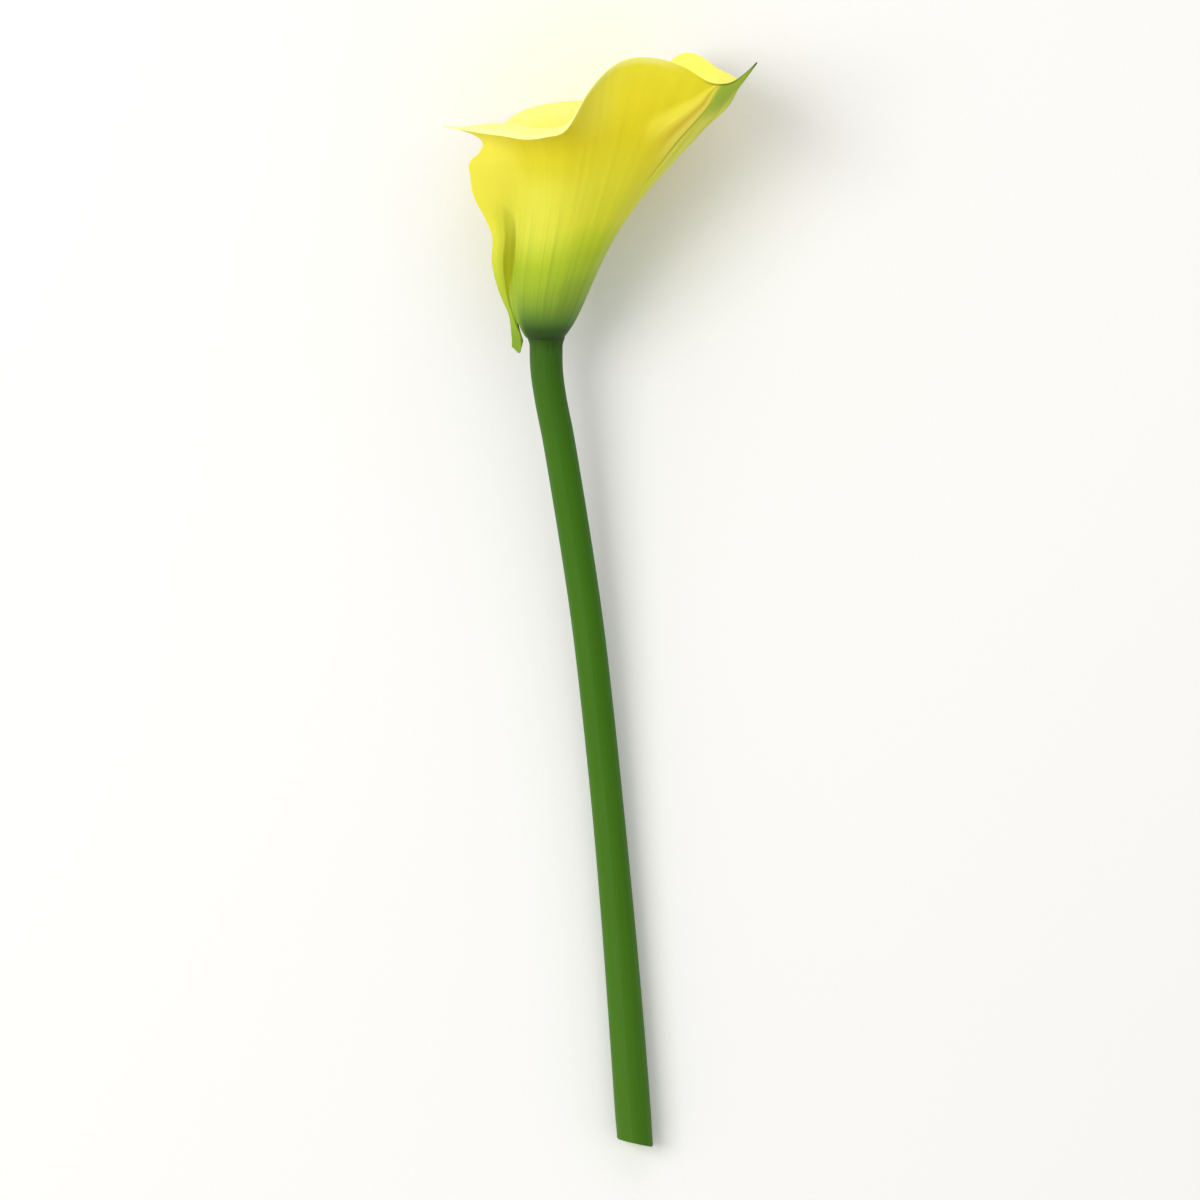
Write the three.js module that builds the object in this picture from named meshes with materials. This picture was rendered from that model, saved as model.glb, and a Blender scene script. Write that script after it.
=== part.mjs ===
// Arum lily flower, picked and lying on a flat surface: one funnel-shaped spathe
// wrapped round a spadix, on a smooth cut stem.
//
// Units are millimetres and +Z is up. Each piece is shaped in flower coordinates:
// the origin is where the spathe meets the stem, x runs towards the spathe's tip,
// y up along the flower and z towards the side that faces up when it lies down.
// An angle round the flower starts at +x and turns towards +z.

import * as THREE from 'three';

// ---------------------------------------------------------------- driving sizes

const TILT = THREE.MathUtils.degToRad(10);   // the funnel leans down from level by this
const REST_HEIGHT = 16.1;                    // junction of spathe and stem above the surface
const FLAT_SPOT = 1.3;                       // softness of the spot pressed flat under the rim
const GAP = 0.3;                             // clearance between pieces that meet

const STEM = {
  topRadius: 3.9,
  radius: 3.75,
  cutRadius: 4.25,
  cutSlant: 2.4,                             // the cut end is slightly oblique
  neckLength: 14,                            // it thickens over this much below the spathe,
  swellFrom: 100,                            // and again from this far down to the cut
  turnLength: 12,                            // it comes into line with the flower over this much
  sides: 20,
  steps: 30,
  // distance down the stem and sideways offset there, by eye from the photo
  course: [
    [0, 0], [8, 0.2], [15, 1.2], [22, 2.6], [33, 4.5], [44, 6.3], [66, 9.6], [90, 12.4],
    [120, 15.4], [155, 18.4], [190, 21.0],
  ],
  settle: 2.6,                               // how soon the stem comes down to the surface
};

const SPATHE = {
  neckRadius: 3.7,                           // where it grips the stem
  shoulder: 5.2,                             // quick widening just above the stem
  shoulderHeight: 7,
  lean: 9.2,                                 // the tube's centre drifts towards the tip
  leanHeight: 58,
  leanPower: 1.5,
  midrib: 21,                                // angle of the midrib, degrees
  layer: 1.0,                                // half the step between the two wrapped layers
  thickBase: 1.3,
  thickRim: 0.8,
  thinFrom: 135,                             // angle from which it thins to the free margin too
  thinOver: 25,
  squareFoot: 0.12,                          // part of the way up that ends square to the stem
  lipPower: 7,
  rows: 30,
  columnStep: 6,                             // degrees between mesh columns
};

// Slight fullness of the tube on the side of the free margin.
const BELLY = { out: 0.4, height: 19, spread: 11, from: 105, over: 45 };

// Fullness of the midrib just below the tip: part of the way up, and degrees across.
const KEEL = { out: 1.2, part: 0.95, spread: 0.042, width: 25 };

// Slim point at the end of the midrib.
const CUSP = {
  length: 7.4,
  width: 2.2,                                // degrees in which it tapers
  from: 0.9,                                 // part of the way up where it begins,
  power: 1.3,                                // and how late it gathers length from there
  back: THREE.MathUtils.degToRad(43.5),      // it points this far out from the flower's axis
  columns: [1.4, 2.8, 4.5, 7],               // degrees from the midrib of the finer mesh columns
  spare: 0.5,                                // even columns keep at least this far from them
};

// The free outer margin, which stands proud of the tube in a narrow roll.
const HEM = {
  high: 148,                                 // angle where it begins near the rim,
  low: 162,                                  // and lower down
  lowBelow: 40,
  lowOver: 12,
  after: 134,                                // mesh columns beyond this angle follow its start
  approach: [0.25, 0.5, 0.75],
  columns: [0, 0.18, 0.32, 0.44, 0.55, 0.65, 0.76, 0.88, 1],
  // height, and how far the margin stands out there
  out: [
    [0, 3.5], [2, 2.5], [4, 1.9], [6, 1.8], [8.5, 2.5], [12, 3.6], [18, 5.1], [25, 5.5],
    [29, 7.3], [34, 9.8], [39, 10.0], [42, 9.2], [44.5, 4.8], [50, 3.8], [60, 4.0],
  ],
  fadePower: 4,                              // how late towards the rim this dies out
  power: 1.6,                                // how late across its width it rises,
  powerMore: 0.9,                            // and how much later round this height
  powerHeight: 36,
  powerSpread: 8,
  // share of the way across the margin, and how far it is shifted round: a gutter, then a roll
  roll: [[0, 0], [0.3, -0.25], [0.55, -0.25], [0.68, 0.15], [0.8, 0.45], [0.9, 0.5], [1, 0.35]],
  rollFoot: [7, 9],                          // the roll sets in above this height, over this much
  rollTop: [41, 13],                         // and ends below this one
  nip: 2.6,                                  // waist just below the pointed corner
  nipFrom: 0.74,
  tail: 3.6,                                 // free lobe below the junction
  tailFrom: 0.4,
  tailOver: 0.24,
  tailRound: 0.35,                           // rise of the lobe's end towards its edge
  tailRoundFrom: 0.7,
  tailPower: 3,                              // how soon it dies out up the flower
  notch: 3.4,                                // cut between the lobe and the tube
  notchTo: 0.56,
  notchOver: 0.2,
  notchPower: 8,
};

// The rim, walked from the hidden inner margin round the far side, the tip and the near
// side to the free outer margin: angle (degrees), radius, height, flare power (2 is a
// trumpet, 1 a straight cone) and curl (1 rolls the lip level, below 0 stands it up).
const RIM = [
  [-212, 9.6, 27.0, 2.0, 0.0],
  [-200, 10.6, 31.5, 2.1, 0.1],
  [-190, 14.0, 36.5, 2.2, 0.2],
  [-172, 22.0, 41.9, 2.4, 0.5],
  [-150, 26.3, 43.6, 2.4, 0.9],
  [-132, 29.4, 46.6, 2.4, 1.0],
  [-115, 31.5, 50.6, 2.4, 1.0],
  [-100, 30.6, 52.2, 2.3, 0.9],
  [-88, 30.4, 52.6, 2.2, 0.7],
  [-60, 30.5, 57.9, 2.1, 0.2],
  [-40, 31.0, 65.2, 2.1, -0.3],
  [-15, 33.5, 62.6, 2.45, -0.7],
  [10, 37.0, 61.7, 2.8, -1.0],
  [21, 38.2, 62.1, 2.85, -1.1],
  [31, 34.6, 62.8, 2.4, -0.7],
  [42, 31.7, 66.8, 1.9, -0.3],
  [55, 28.4, 69.3, 1.7, 0.1],
  [72, 25.5, 68.0, 1.7, 0.4],
  [88, 25.1, 60.6, 1.9, 0.9],
  [98, 26.3, 52.7, 2.2, 1.5],
  [108, 26.9, 51.0, 2.4, 1.65],
  [139, 25.5, 50.3, 2.6, 1.75],
  [160, 28.7, 50.6, 2.8, 1.5],
  [175, 32.6, 50.7, 3.0, 0.9],
];
const FIRST_ANGLE = RIM[0][0];
const LAST_ANGLE = RIM[RIM.length - 1][0];

const SPADIX = {
  height: 42,
  footRadius: 1.7,                           // slim foot inside the wrapped sheet
  femaleRadius: 2.9,                         // band of ovaries low on the spadix
  maleRadius: 2.55,                          // close-set anthers above it
  femaleTop: 13,
  bandBlend: 2,                              // height in which the band narrows to the anthers
  footHeight: 6,
  tipLength: 5,
  tipEnd: 0.12,                              // share of the full radius at the very end
  lean: 0.8,                                 // it follows the tube's drift this closely
  floretFrom: 2.5,
  relief: 0.28,                              // how far each floret stands out
  sides: 22,
  steps: 58,
};

// Direction up along the flower, as it lies.
const FLOWER_AXIS = new THREE.Vector3(0, Math.cos(TILT), Math.sin(TILT));

// ---------------------------------------------------------------- small helpers

const { clamp } = THREE.MathUtils;
const smooth = (x) => THREE.MathUtils.smoothstep(x, 0, 1);
const bell = (x, centre, spread) => Math.exp(-(((x - centre) / spread) ** 2));

// Smooth curve through rows of numbers: a column's value where the first column is x.
function curveAt(rows, x, column = 1) {
  const last = rows.length - 1;
  const slope = (i) => {
    const step = (k) => (rows[k + 1][column] - rows[k][column]) / (rows[k + 1][0] - rows[k][0]);
    if (i === 0) return step(0);
    if (i === last) return step(last - 1);
    const before = rows[i][0] - rows[i - 1][0];
    const after = rows[i + 1][0] - rows[i][0];
    return (step(i - 1) * after + step(i) * before) / (before + after);
  };
  let i = 0;
  while (i < last - 1 && x > rows[i + 1][0]) i += 1;
  const span = rows[i + 1][0] - rows[i][0];
  const t = (x - rows[i][0]) / span;
  const start = (1 + 2 * t) * (1 - t) ** 2 * rows[i][column] + t * (1 - t) ** 2 * span * slope(i);
  const end = t * t * (3 - 2 * t) * rows[i + 1][column] - t * t * (1 - t) * span * slope(i + 1);
  return start + end;
}

// Flower coordinates turned to how the flower lies, with the junction at the right height.
function lay(point) {
  const turned = point.clone().applyAxisAngle(new THREE.Vector3(1, 0, 0), TILT);
  turned.z += REST_HEIGHT;
  return turned;
}

// Height of a sheet's mid-surface pressed softly against the surface at height floor.
function press(z, floor) {
  const u = z - floor;
  if (u >= FLAT_SPOT) return z;
  if (u <= -FLAT_SPOT) return floor;
  return floor + (u + FLAT_SPOT) ** 2 / (4 * FLAT_SPOT);
}

// Closed mesh from an array of points and an array of triangles.
function closedMesh(name, points, triangles, material) {
  const geometry = new THREE.BufferGeometry();
  geometry.setAttribute('position',
    new THREE.Float32BufferAttribute(points.flatMap((p) => [p.x, p.y, p.z]), 3));
  geometry.setIndex(triangles.flat());
  geometry.computeVertexNormals();
  const mesh = new THREE.Mesh(geometry, material);
  mesh.name = name;
  return mesh;
}

// Closed skin over rings of points: side walls, then one point closing each end.
function skinRings(name, rings, material) {
  const points = rings.flat();
  const sides = rings[0].length;
  const triangles = [];
  for (let i = 0; i + 1 < rings.length; i += 1) {
    for (let j = 0; j < sides; j += 1) {
      const next = (j + 1) % sides;
      const a = i * sides + j;
      const b = i * sides + next;
      const c = a + sides;
      const d = b + sides;
      triangles.push([a, b, d], [a, d, c]);
    }
  }
  const centre = (ring) => ring
    .reduce((sum, p) => sum.add(p), new THREE.Vector3())
    .multiplyScalar(1 / sides);
  const start = points.push(centre(rings[0])) - 1;
  const end = points.push(centre(rings[rings.length - 1])) - 1;
  const top = (rings.length - 1) * sides;
  for (let j = 0; j < sides; j += 1) {
    const next = (j + 1) % sides;
    triangles.push([start, next, j], [end, top + j, top + next]);
  }
  return closedMesh(name, points, triangles, material);
}

// ---------------------------------------------------------------- stem

const stemLength = STEM.course[STEM.course.length - 1][0];

// Centre of the stem at a distance down from the spathe, as it lies.
function stemCentre(down) {
  const part = Math.max(0, 1 - down / stemLength);
  const height = STEM.cutRadius + (REST_HEIGHT - STEM.cutRadius) * part ** STEM.settle;
  return new THREE.Vector3(curveAt(STEM.course, down), -down, height);
}

function stemRadius(down) {
  const swell = smooth((down - STEM.swellFrom) / (stemLength - STEM.swellFrom));
  const neck = smooth(1 - down / STEM.neckLength);
  return STEM.radius + (STEM.cutRadius - STEM.radius) * swell
    + (STEM.topRadius - STEM.radius) * neck;
}

function makeStem(material) {
  const rings = [];
  for (let i = 0; i <= STEM.steps; i += 1) {
    const down = GAP + (stemLength - GAP) * (1 - i / STEM.steps);
    const centre = stemCentre(down);
    const along = stemCentre(Math.max(0, down - 1)).sub(stemCentre(down + 1)).normalize()
      .lerp(FLOWER_AXIS, smooth(1 - down / STEM.turnLength)).normalize();
    const across = new THREE.Vector3(1, 0, 0).addScaledVector(along, -along.x).normalize();
    const outward = new THREE.Vector3().crossVectors(across, along).negate();
    const radius = stemRadius(down);
    const ring = [];
    for (let j = 0; j < STEM.sides; j += 1) {
      const angle = (2 * Math.PI * j) / STEM.sides;
      const point = centre.clone()
        .addScaledVector(across, radius * Math.cos(angle))
        .addScaledVector(outward, radius * Math.sin(angle));
      if (i === 0) point.y -= STEM.cutSlant * Math.cos(angle) / 2;
      ring.push(point);
    }
    rings.push(ring);
  }
  return skinRings('stem', rings, material);
}

// ---------------------------------------------------------------- spathe

// How far the tube's centre has drifted towards the midrib at a height.
function leanAt(height) {
  const part = clamp(height / SPATHE.leanHeight, 0, 1);
  return SPATHE.lean * Math.sin(part * Math.PI / 2) ** SPATHE.leanPower;
}

// Height of the sheet at an angle in degrees and a part of the way up, 0 to 1.
function spatheHeight(angle, part) {
  const curl = curveAt(RIM, angle, 4) / SPATHE.lipPower;
  return curveAt(RIM, angle, 2) * (part - curl * part ** SPATHE.lipPower) / (1 - curl);
}

// Angle where the free margin begins.
function hemStart(height) {
  return HEM.high + (HEM.low - HEM.high) * smooth((HEM.lowBelow - height) / HEM.lowOver);
}

// Share of the way across the free margin, 0 on the tube to 1 at the edge.
function hemShare(angle, height) {
  const start = hemStart(height);
  return clamp((angle - start) / (LAST_ANGLE - start), 0, 1);
}

// How far the free margin stands out from the tube.
function hemOut(share, height, part) {
  const power = HEM.power + HEM.powerMore * bell(height, HEM.powerHeight, HEM.powerSpread);
  const highest = HEM.out[HEM.out.length - 1][0];
  const proud = curveAt(HEM.out, Math.min(height, highest)) * (1 - part ** HEM.fadePower);
  const nipped = clamp((part - HEM.nipFrom) / (1 - HEM.nipFrom), 0, 1);
  return share ** power * (proud - HEM.nip * Math.sin(Math.PI * nipped) ** 2);
}

// How far the free margin is shifted round the tube.
function hemRoll(share, height) {
  const [foot, footOver] = HEM.rollFoot;
  const [top, topOver] = HEM.rollTop;
  return curveAt(HEM.roll, share)
    * smooth((height - foot) / footOver) * smooth((top - height) / topOver);
}

// Rise of the sheet's lower edge: a free lobe that hangs down and a notch beside it.
function footRise(share, part) {
  const lobe = smooth((share - HEM.tailFrom) / HEM.tailOver)
    * (1 - HEM.tailRound * smooth((share - HEM.tailRoundFrom) / (1 - HEM.tailRoundFrom)));
  const notch = smooth(share / HEM.notchOver) * smooth((HEM.notchTo - share) / HEM.notchOver);
  return HEM.notch * notch * (1 - part) ** HEM.notchPower
    - HEM.tail * lobe * (1 - part) ** HEM.tailPower;
}

// Radius of the sheet from the tube's centre line, at a height on or above the stem's end.
function spatheRadius(angle, part, height, share) {
  const layer = SPATHE.layer * (angle - SPATHE.midrib) / 180;
  const neck = SPATHE.neckRadius + SPATHE.shoulder + layer;
  const tube = SPATHE.neckRadius + layer
    + SPATHE.shoulder * (1 - Math.exp(-height / SPATHE.shoulderHeight))
    + (curveAt(RIM, angle, 1) - neck) * part ** curveAt(RIM, angle, 3);
  const belly = BELLY.out * smooth((angle - BELLY.from) / BELLY.over)
    * bell(height, BELLY.height, BELLY.spread);
  const keel = KEEL.out * bell(angle, SPATHE.midrib, KEEL.width) * bell(part, KEEL.part, KEEL.spread);
  return tube + belly + keel + hemOut(share, height, part);
}

// Mid-surface of the spathe: angle in degrees, part 0 at the stem to 1 at the rim.
function spatheSurface(angle, part) {
  const grown = spatheHeight(angle, part);
  const share = hemShare(angle, grown);
  const height = grown + footRise(share, part);
  const radius = spatheRadius(angle, part, Math.max(height, 0), share);
  const turn = THREE.MathUtils.degToRad(angle) - hemRoll(share, height) / radius;
  const tip = THREE.MathUtils.degToRad(SPATHE.midrib);
  const cusp = CUSP.length * Math.exp(-Math.abs(angle - SPATHE.midrib) / CUSP.width)
    * smooth((part - CUSP.from) / (1 - CUSP.from)) ** CUSP.power;
  const out = leanAt(height) + cusp * Math.sin(CUSP.back);
  const laid = lay(new THREE.Vector3(
    radius * Math.cos(turn) + out * Math.cos(tip),
    height + cusp * Math.cos(CUSP.back),
    radius * Math.sin(turn) + out * Math.sin(tip),
  ));
  laid.z = press(laid.z, spatheThickness(angle, part) / 2);
  return laid;
}

// The sheet is thinnest at the rim and on the free margin.
function spatheThickness(angle, part) {
  const thin = Math.max(smooth(part), smooth((angle - SPATHE.thinFrom) / SPATHE.thinOver));
  return THREE.MathUtils.lerp(SPATHE.thickBase, SPATHE.thickRim, thin);
}

// Direction out of the spathe's outer face; level with the stem's end at the very foot.
function spatheNormal(angle, part) {
  const turnStep = 0.4;
  const partStep = 0.004;
  const high = spatheSurface(Math.min(angle + turnStep, LAST_ANGLE), part);
  const round = high.sub(spatheSurface(Math.max(angle - turnStep, FIRST_ANGLE), part));
  const upper = spatheSurface(angle, Math.min(part + partStep, 1));
  const up = upper.sub(spatheSurface(angle, Math.max(part - partStep, 0)));
  const normal = up.cross(round).normalize();
  const level = normal.clone()
    .addScaledVector(FLOWER_AXIS, -normal.dot(FLOWER_AXIS)).normalize();
  return normal.lerp(level, 1 - smooth(part / SPATHE.squareFoot)).normalize();
}

// Angles of the mesh columns short of the free margin: even, but closer together at the tip.
function bodyColumns() {
  const even = [];
  for (let angle = FIRST_ANGLE; angle < HEM.after; angle += SPATHE.columnStep) even.push(angle);
  const nearTip = CUSP.columns[CUSP.columns.length - 1] + CUSP.spare;
  const away = even.filter((angle) => Math.abs(angle - SPATHE.midrib) > nearTip);
  const tip = CUSP.columns.flatMap((step) => [SPATHE.midrib - step, SPATHE.midrib + step]);
  return [...away, ...tip, SPATHE.midrib].sort((a, b) => a - b);
}

// Angles of the mesh columns that follow the start of the free margin up the flower.
function marginColumns(part) {
  const start = hemStart(spatheHeight(HEM.low, part));
  return [
    ...HEM.approach.map((share) => HEM.after + share * (start - HEM.after)),
    ...HEM.columns.map((share) => start + share * (LAST_ANGLE - start)),
  ];
}

function makeSpathe(material) {
  const body = bodyColumns();
  const count = body.length + HEM.approach.length + HEM.columns.length;
  const outer = [];
  const inner = [];
  for (let i = 0; i <= SPATHE.rows; i += 1) {
    const part = i / SPATHE.rows;
    for (const angle of [...body, ...marginColumns(part)]) {
      const middle = spatheSurface(angle, part);
      const offset = spatheNormal(angle, part).multiplyScalar(spatheThickness(angle, part) / 2);
      outer.push(middle.clone().add(offset));
      inner.push(middle.sub(offset));
    }
  }
  const points = [...outer, ...inner];
  const back = outer.length;
  const triangles = [];
  for (let i = 0; i < SPATHE.rows; i += 1) {
    for (let j = 0; j + 1 < count; j += 1) {
      const a = i * count + j;
      const b = a + 1;
      const c = a + count;
      const d = c + 1;
      triangles.push([a, d, b], [a, c, d]);
      triangles.push([back + a, back + b, back + d], [back + a, back + d, back + c]);
    }
  }
  const wall = (from, to) => {
    triangles.push([from, to, back + to], [from, back + to, back + from]);
  };
  const rim = SPATHE.rows * count;
  for (let j = 0; j + 1 < count; j += 1) {
    wall(j, j + 1);
    wall(rim + j + 1, rim + j);
  }
  for (let i = 0; i < SPATHE.rows; i += 1) {
    wall((i + 1) * count, i * count);
    wall(i * count + count - 1, (i + 1) * count + count - 1);
  }
  return closedMesh('spathe', points, triangles, material);
}

// ---------------------------------------------------------------- spadix

function spadixRadius(height) {
  const belly = THREE.MathUtils.lerp(SPADIX.femaleRadius, SPADIX.maleRadius,
    smooth((height - SPADIX.femaleTop) / SPADIX.bandBlend));
  const foot = smooth(height / SPADIX.footHeight);
  const fromTop = clamp((SPADIX.height - height) / SPADIX.tipLength, 0, 1);
  const tip = Math.sqrt(1 - (1 - fromTop) ** 2);
  return (SPADIX.footRadius + (belly - SPADIX.footRadius) * foot) * Math.max(tip, SPADIX.tipEnd);
}

function makeSpadix(material) {
  const tip = THREE.MathUtils.degToRad(SPATHE.midrib);
  const rings = [];
  for (let i = 0; i <= SPADIX.steps; i += 1) {
    const height = (SPADIX.height * i) / SPADIX.steps;
    const lean = SPADIX.lean * leanAt(height);
    const ring = [];
    for (let j = 0; j < SPADIX.sides; j += 1) {
      const angle = (2 * Math.PI * j) / SPADIX.sides;
      const florets = height > SPADIX.floretFrom && i < SPADIX.steps - 1;
      const raised = florets && (i + j) % 2 === 0 ? SPADIX.relief : 0;
      const radius = spadixRadius(height) + raised;
      ring.push(lay(new THREE.Vector3(
        lean * Math.cos(tip) + radius * Math.cos(angle),
        height,
        lean * Math.sin(tip) - radius * Math.sin(angle),
      )));
    }
    rings.push(ring);
  }
  return skinRings('spadix', rings, material);
}

// ---------------------------------------------------------------- the flower

const finish = (color, roughness) => new THREE.MeshStandardMaterial({
  color, roughness, metalness: 0,
});

const flower = new THREE.Group();
flower.name = 'arum_lily_flower';
flower.add(makeStem(finish(0x447d1e, 0.45)));
flower.add(makeSpathe(finish(0xdcd22e, 0.55)));
flower.add(makeSpadix(finish(0xf0b416, 0.8)));

// The origin is the middle of the flower's footprint, on the surface that it lies on.
const box = new THREE.Box3().setFromObject(flower);
const middle = box.getCenter(new THREE.Vector3());
flower.position.set(-middle.x, -middle.y, -box.min.z);

export default flower;
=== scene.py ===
"""Arum lily flower, picked and lying on a flat surface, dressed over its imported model.

Pieces are shaped in flower millimetres: the origin is where the spathe meets the stem, x runs
towards the spathe's tip, y up along the flower and z towards the side that faces up. Angles
round the flower start at +x and turn towards +z. A Lie carries them to the frame, in metres.
"""

import functools
import logging
import math
import operator
from dataclasses import dataclass, field
from enum import Enum
from typing import Any

import bpy
import numpy as np
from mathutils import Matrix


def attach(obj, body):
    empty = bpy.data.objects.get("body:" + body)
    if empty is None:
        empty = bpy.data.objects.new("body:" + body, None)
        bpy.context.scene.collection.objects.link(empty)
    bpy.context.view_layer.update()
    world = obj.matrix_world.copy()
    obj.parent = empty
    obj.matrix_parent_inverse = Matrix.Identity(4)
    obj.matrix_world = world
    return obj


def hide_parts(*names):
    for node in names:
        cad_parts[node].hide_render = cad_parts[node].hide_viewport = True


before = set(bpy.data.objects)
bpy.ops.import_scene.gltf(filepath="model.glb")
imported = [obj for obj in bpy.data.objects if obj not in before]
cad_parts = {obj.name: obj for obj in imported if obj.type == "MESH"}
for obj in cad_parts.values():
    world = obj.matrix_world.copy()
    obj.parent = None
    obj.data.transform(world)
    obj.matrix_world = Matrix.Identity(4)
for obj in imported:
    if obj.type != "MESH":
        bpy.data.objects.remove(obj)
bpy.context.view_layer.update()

Array = np.ndarray
Colour = tuple[float, float, float, float]
Span = tuple[float, float]  # where a change begins, and how far on it is complete; it may run back
Spot = tuple[float, float]  # middle and spread of a bell
Edge = tuple[float, float]  # where a shader's value counts as nothing, and where it counts in full
Tones = tuple[tuple[float, str], ...]  # value and colour code of each stop of a ramp

MM = 0.001
GOLDEN = math.pi * (3.0 - math.sqrt(5.0))  # angle from each floret to the next as they grow
SAMPLES = 6000  # fine steps on which uneven spacing is worked out
log = logging.getLogger("arum_lily")


# ------------------------------------------------------------------ numbers and curves


def smooth(x: Array | float, start: float = 0.0, span: float = 1.0) -> Array:
    """Zero before the start, one a span further on and an easy S between them."""
    x = np.clip((x - start) / span, 0.0, 1.0)
    return x * x * (3.0 - 2.0 * x)


def bell(x: Array | float, centre: float, spread: float) -> Array:
    """Bell of height 1 about a centre."""
    return np.exp(-(((x - centre) / spread) ** 2))


def quarter_round(x: Array) -> Array:
    """Height of a quarter circle: 0 at 0, rising steeply, and 1 from 1 on."""
    return np.sqrt(np.clip(1.0 - (1.0 - np.clip(x, 0.0, 1.0)) ** 2, 0.0, 1.0))


def circle(count: int) -> Array:
    """Angles spaced evenly round a circle, in radians."""
    return np.arange(count) * 2.0 * math.pi / count


def unit(vectors: Array) -> Array:
    """The same directions at length 1."""
    return vectors / np.maximum(np.linalg.norm(vectors, axis=-1, keepdims=True), 1e-12)


def lengths(points: Array, axis: int) -> Array:
    """Length along a grid of points from its first row (axis 0) or first column (axis 1)."""
    steps = np.linalg.norm(np.diff(points, axis=axis), axis=-1)
    return np.insert(np.cumsum(steps, axis=axis), 0, 0.0, axis=axis)


def spaced(
    start: float, stop: float, step: float, crowds: tuple[tuple[float, float, float], ...]
) -> Array:
    """Positions along a line, closer together where they crowd.

    Args:
        start: First position.
        stop: Last position.
        step: Usual distance between two positions.
        crowds: Place, fine step and spread of each spot where they crowd.

    Returns:
        The positions, in rising order.
    """
    x = np.linspace(start, stop, SAMPLES)
    density = np.full_like(x, 1.0 / step)
    for place, fine, spread in crowds:
        density += (1.0 / fine - 1.0 / step) * bell(x, place, spread)
    parts = (density[1:] + density[:-1]) / 2.0 * np.diff(x)
    total = np.concatenate([[0.0], np.cumsum(parts)])
    count = int(round(total[-1]))
    return np.interp(np.linspace(0.0, total[-1], count + 1), total, x)


class Course:
    """A smooth curve through points on uneven spacing."""

    def __init__(self, at: list[float], values: list[float]) -> None:
        """Keeps the points and works out the slope at each.

        Args:
            at: Where the points are, in rising order.
            values: The curve's value at each.
        """
        self.at = np.asarray(at, float)
        self.values = np.asarray(values, float)
        gap = np.diff(self.at)
        step = np.diff(self.values) / gap
        self.slopes = np.empty_like(self.values)
        self.slopes[0], self.slopes[-1] = step[0], step[-1]
        self.slopes[1:-1] = (step[:-1] * gap[1:] + step[1:] * gap[:-1]) / (gap[:-1] + gap[1:])

    def __call__(self, x: Array | float) -> Array:
        """Value of the curve.

        Args:
            x: Where to read it.

        Returns:
            The value at each x.
        """
        i = np.clip(np.searchsorted(self.at, x, side="left") - 1, 0, len(self.at) - 2)
        span = self.at[i + 1] - self.at[i]
        t = (x - self.at[i]) / span
        return (
            (2 * t**3 - 3 * t**2 + 1) * self.values[i]
            + (t**3 - 2 * t**2 + t) * span * self.slopes[i]
            + (-2 * t**3 + 3 * t**2) * self.values[i + 1]
            + (t**3 - t**2) * span * self.slopes[i + 1]
        )


@dataclass(frozen=True)
class Lie:
    """How the flower lies on the surface, and where its junction is in the frame."""

    tilt: float = math.radians(10.0)
    rest_height: float = 16.1
    flat_spot: float = 1.3
    junction_x: float = -12.690
    junction_y: float = 61.770

    def axis(self) -> Array:
        """Direction up along the flower, as it lies."""
        return np.array([0.0, math.cos(self.tilt), math.sin(self.tilt)])

    def turned(self, points: Array) -> Array:
        """Flower coordinates tilted and raised, in millimetres about the junction.

        Args:
            points: Points in flower coordinates.

        Returns:
            The same points as the flower lies.
        """
        x, y, z = points[..., 0], points[..., 1], points[..., 2]
        c, s = math.cos(self.tilt), math.sin(self.tilt)
        return np.stack([x, y * c - z * s, y * s + z * c + self.rest_height], axis=-1)

    def pressed(self, points: Array, floor: Array) -> Array:
        """Turned points pressed softly against the surface.

        Args:
            points: Points about the junction, as the flower lies.
            floor: Lowest height that each point may have.

        Returns:
            The points, with the low ones eased up to the floor.
        """
        soft = self.flat_spot
        over = points[..., 2] - floor
        eased = floor + (np.clip(over, -soft, soft) + soft) ** 2 / (4.0 * soft)
        out = points.copy()
        out[..., 2] = np.where(over >= soft, points[..., 2], eased)
        return out

    def framed(self, points: Array) -> Array:
        """Millimetres about the junction to metres in the frame."""
        return (points + np.array([self.junction_x, self.junction_y, 0.0])) * MM


# ------------------------------------------------------------------ meshes


def grid_faces(rows: int, columns: int, closed: bool = False, flip: bool = False) -> Array:
    """Quads between neighbouring points of a grid.

    Args:
        rows: Number of rows of points.
        columns: Number of points in a row.
        closed: Whether each row closes on itself.
        flip: Whether the faces look the other way.

    Returns:
        Four point numbers for each quad.
    """
    i = np.arange(rows - 1)[:, None]
    j = np.arange(columns if closed else columns - 1)[None, :]
    a = i * columns + j
    b = i * columns + (j + 1) % columns
    quads = np.stack([a, b, b + columns, a + columns], axis=-1).reshape(-1, 4)
    return quads[:, ::-1] if flip else quads


def tube_faces(rows: int, columns: int, start: int = 0, flip: bool = False) -> list[list[int]]:
    """Faces of a closed tube, with one more over each end.

    Args:
        rows: Number of rings of points.
        columns: Number of points in a ring.
        start: Number of the first point.
        flip: Whether the faces look the other way.

    Returns:
        Point numbers of each face.
    """
    first = [start + j for j in range(columns)]
    last = [(rows - 1) * columns + j for j in first]
    ends = [first, last[::-1]] if flip else [first[::-1], last]
    return (grid_faces(rows, columns, closed=True, flip=flip) + start).tolist() + ends


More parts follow.
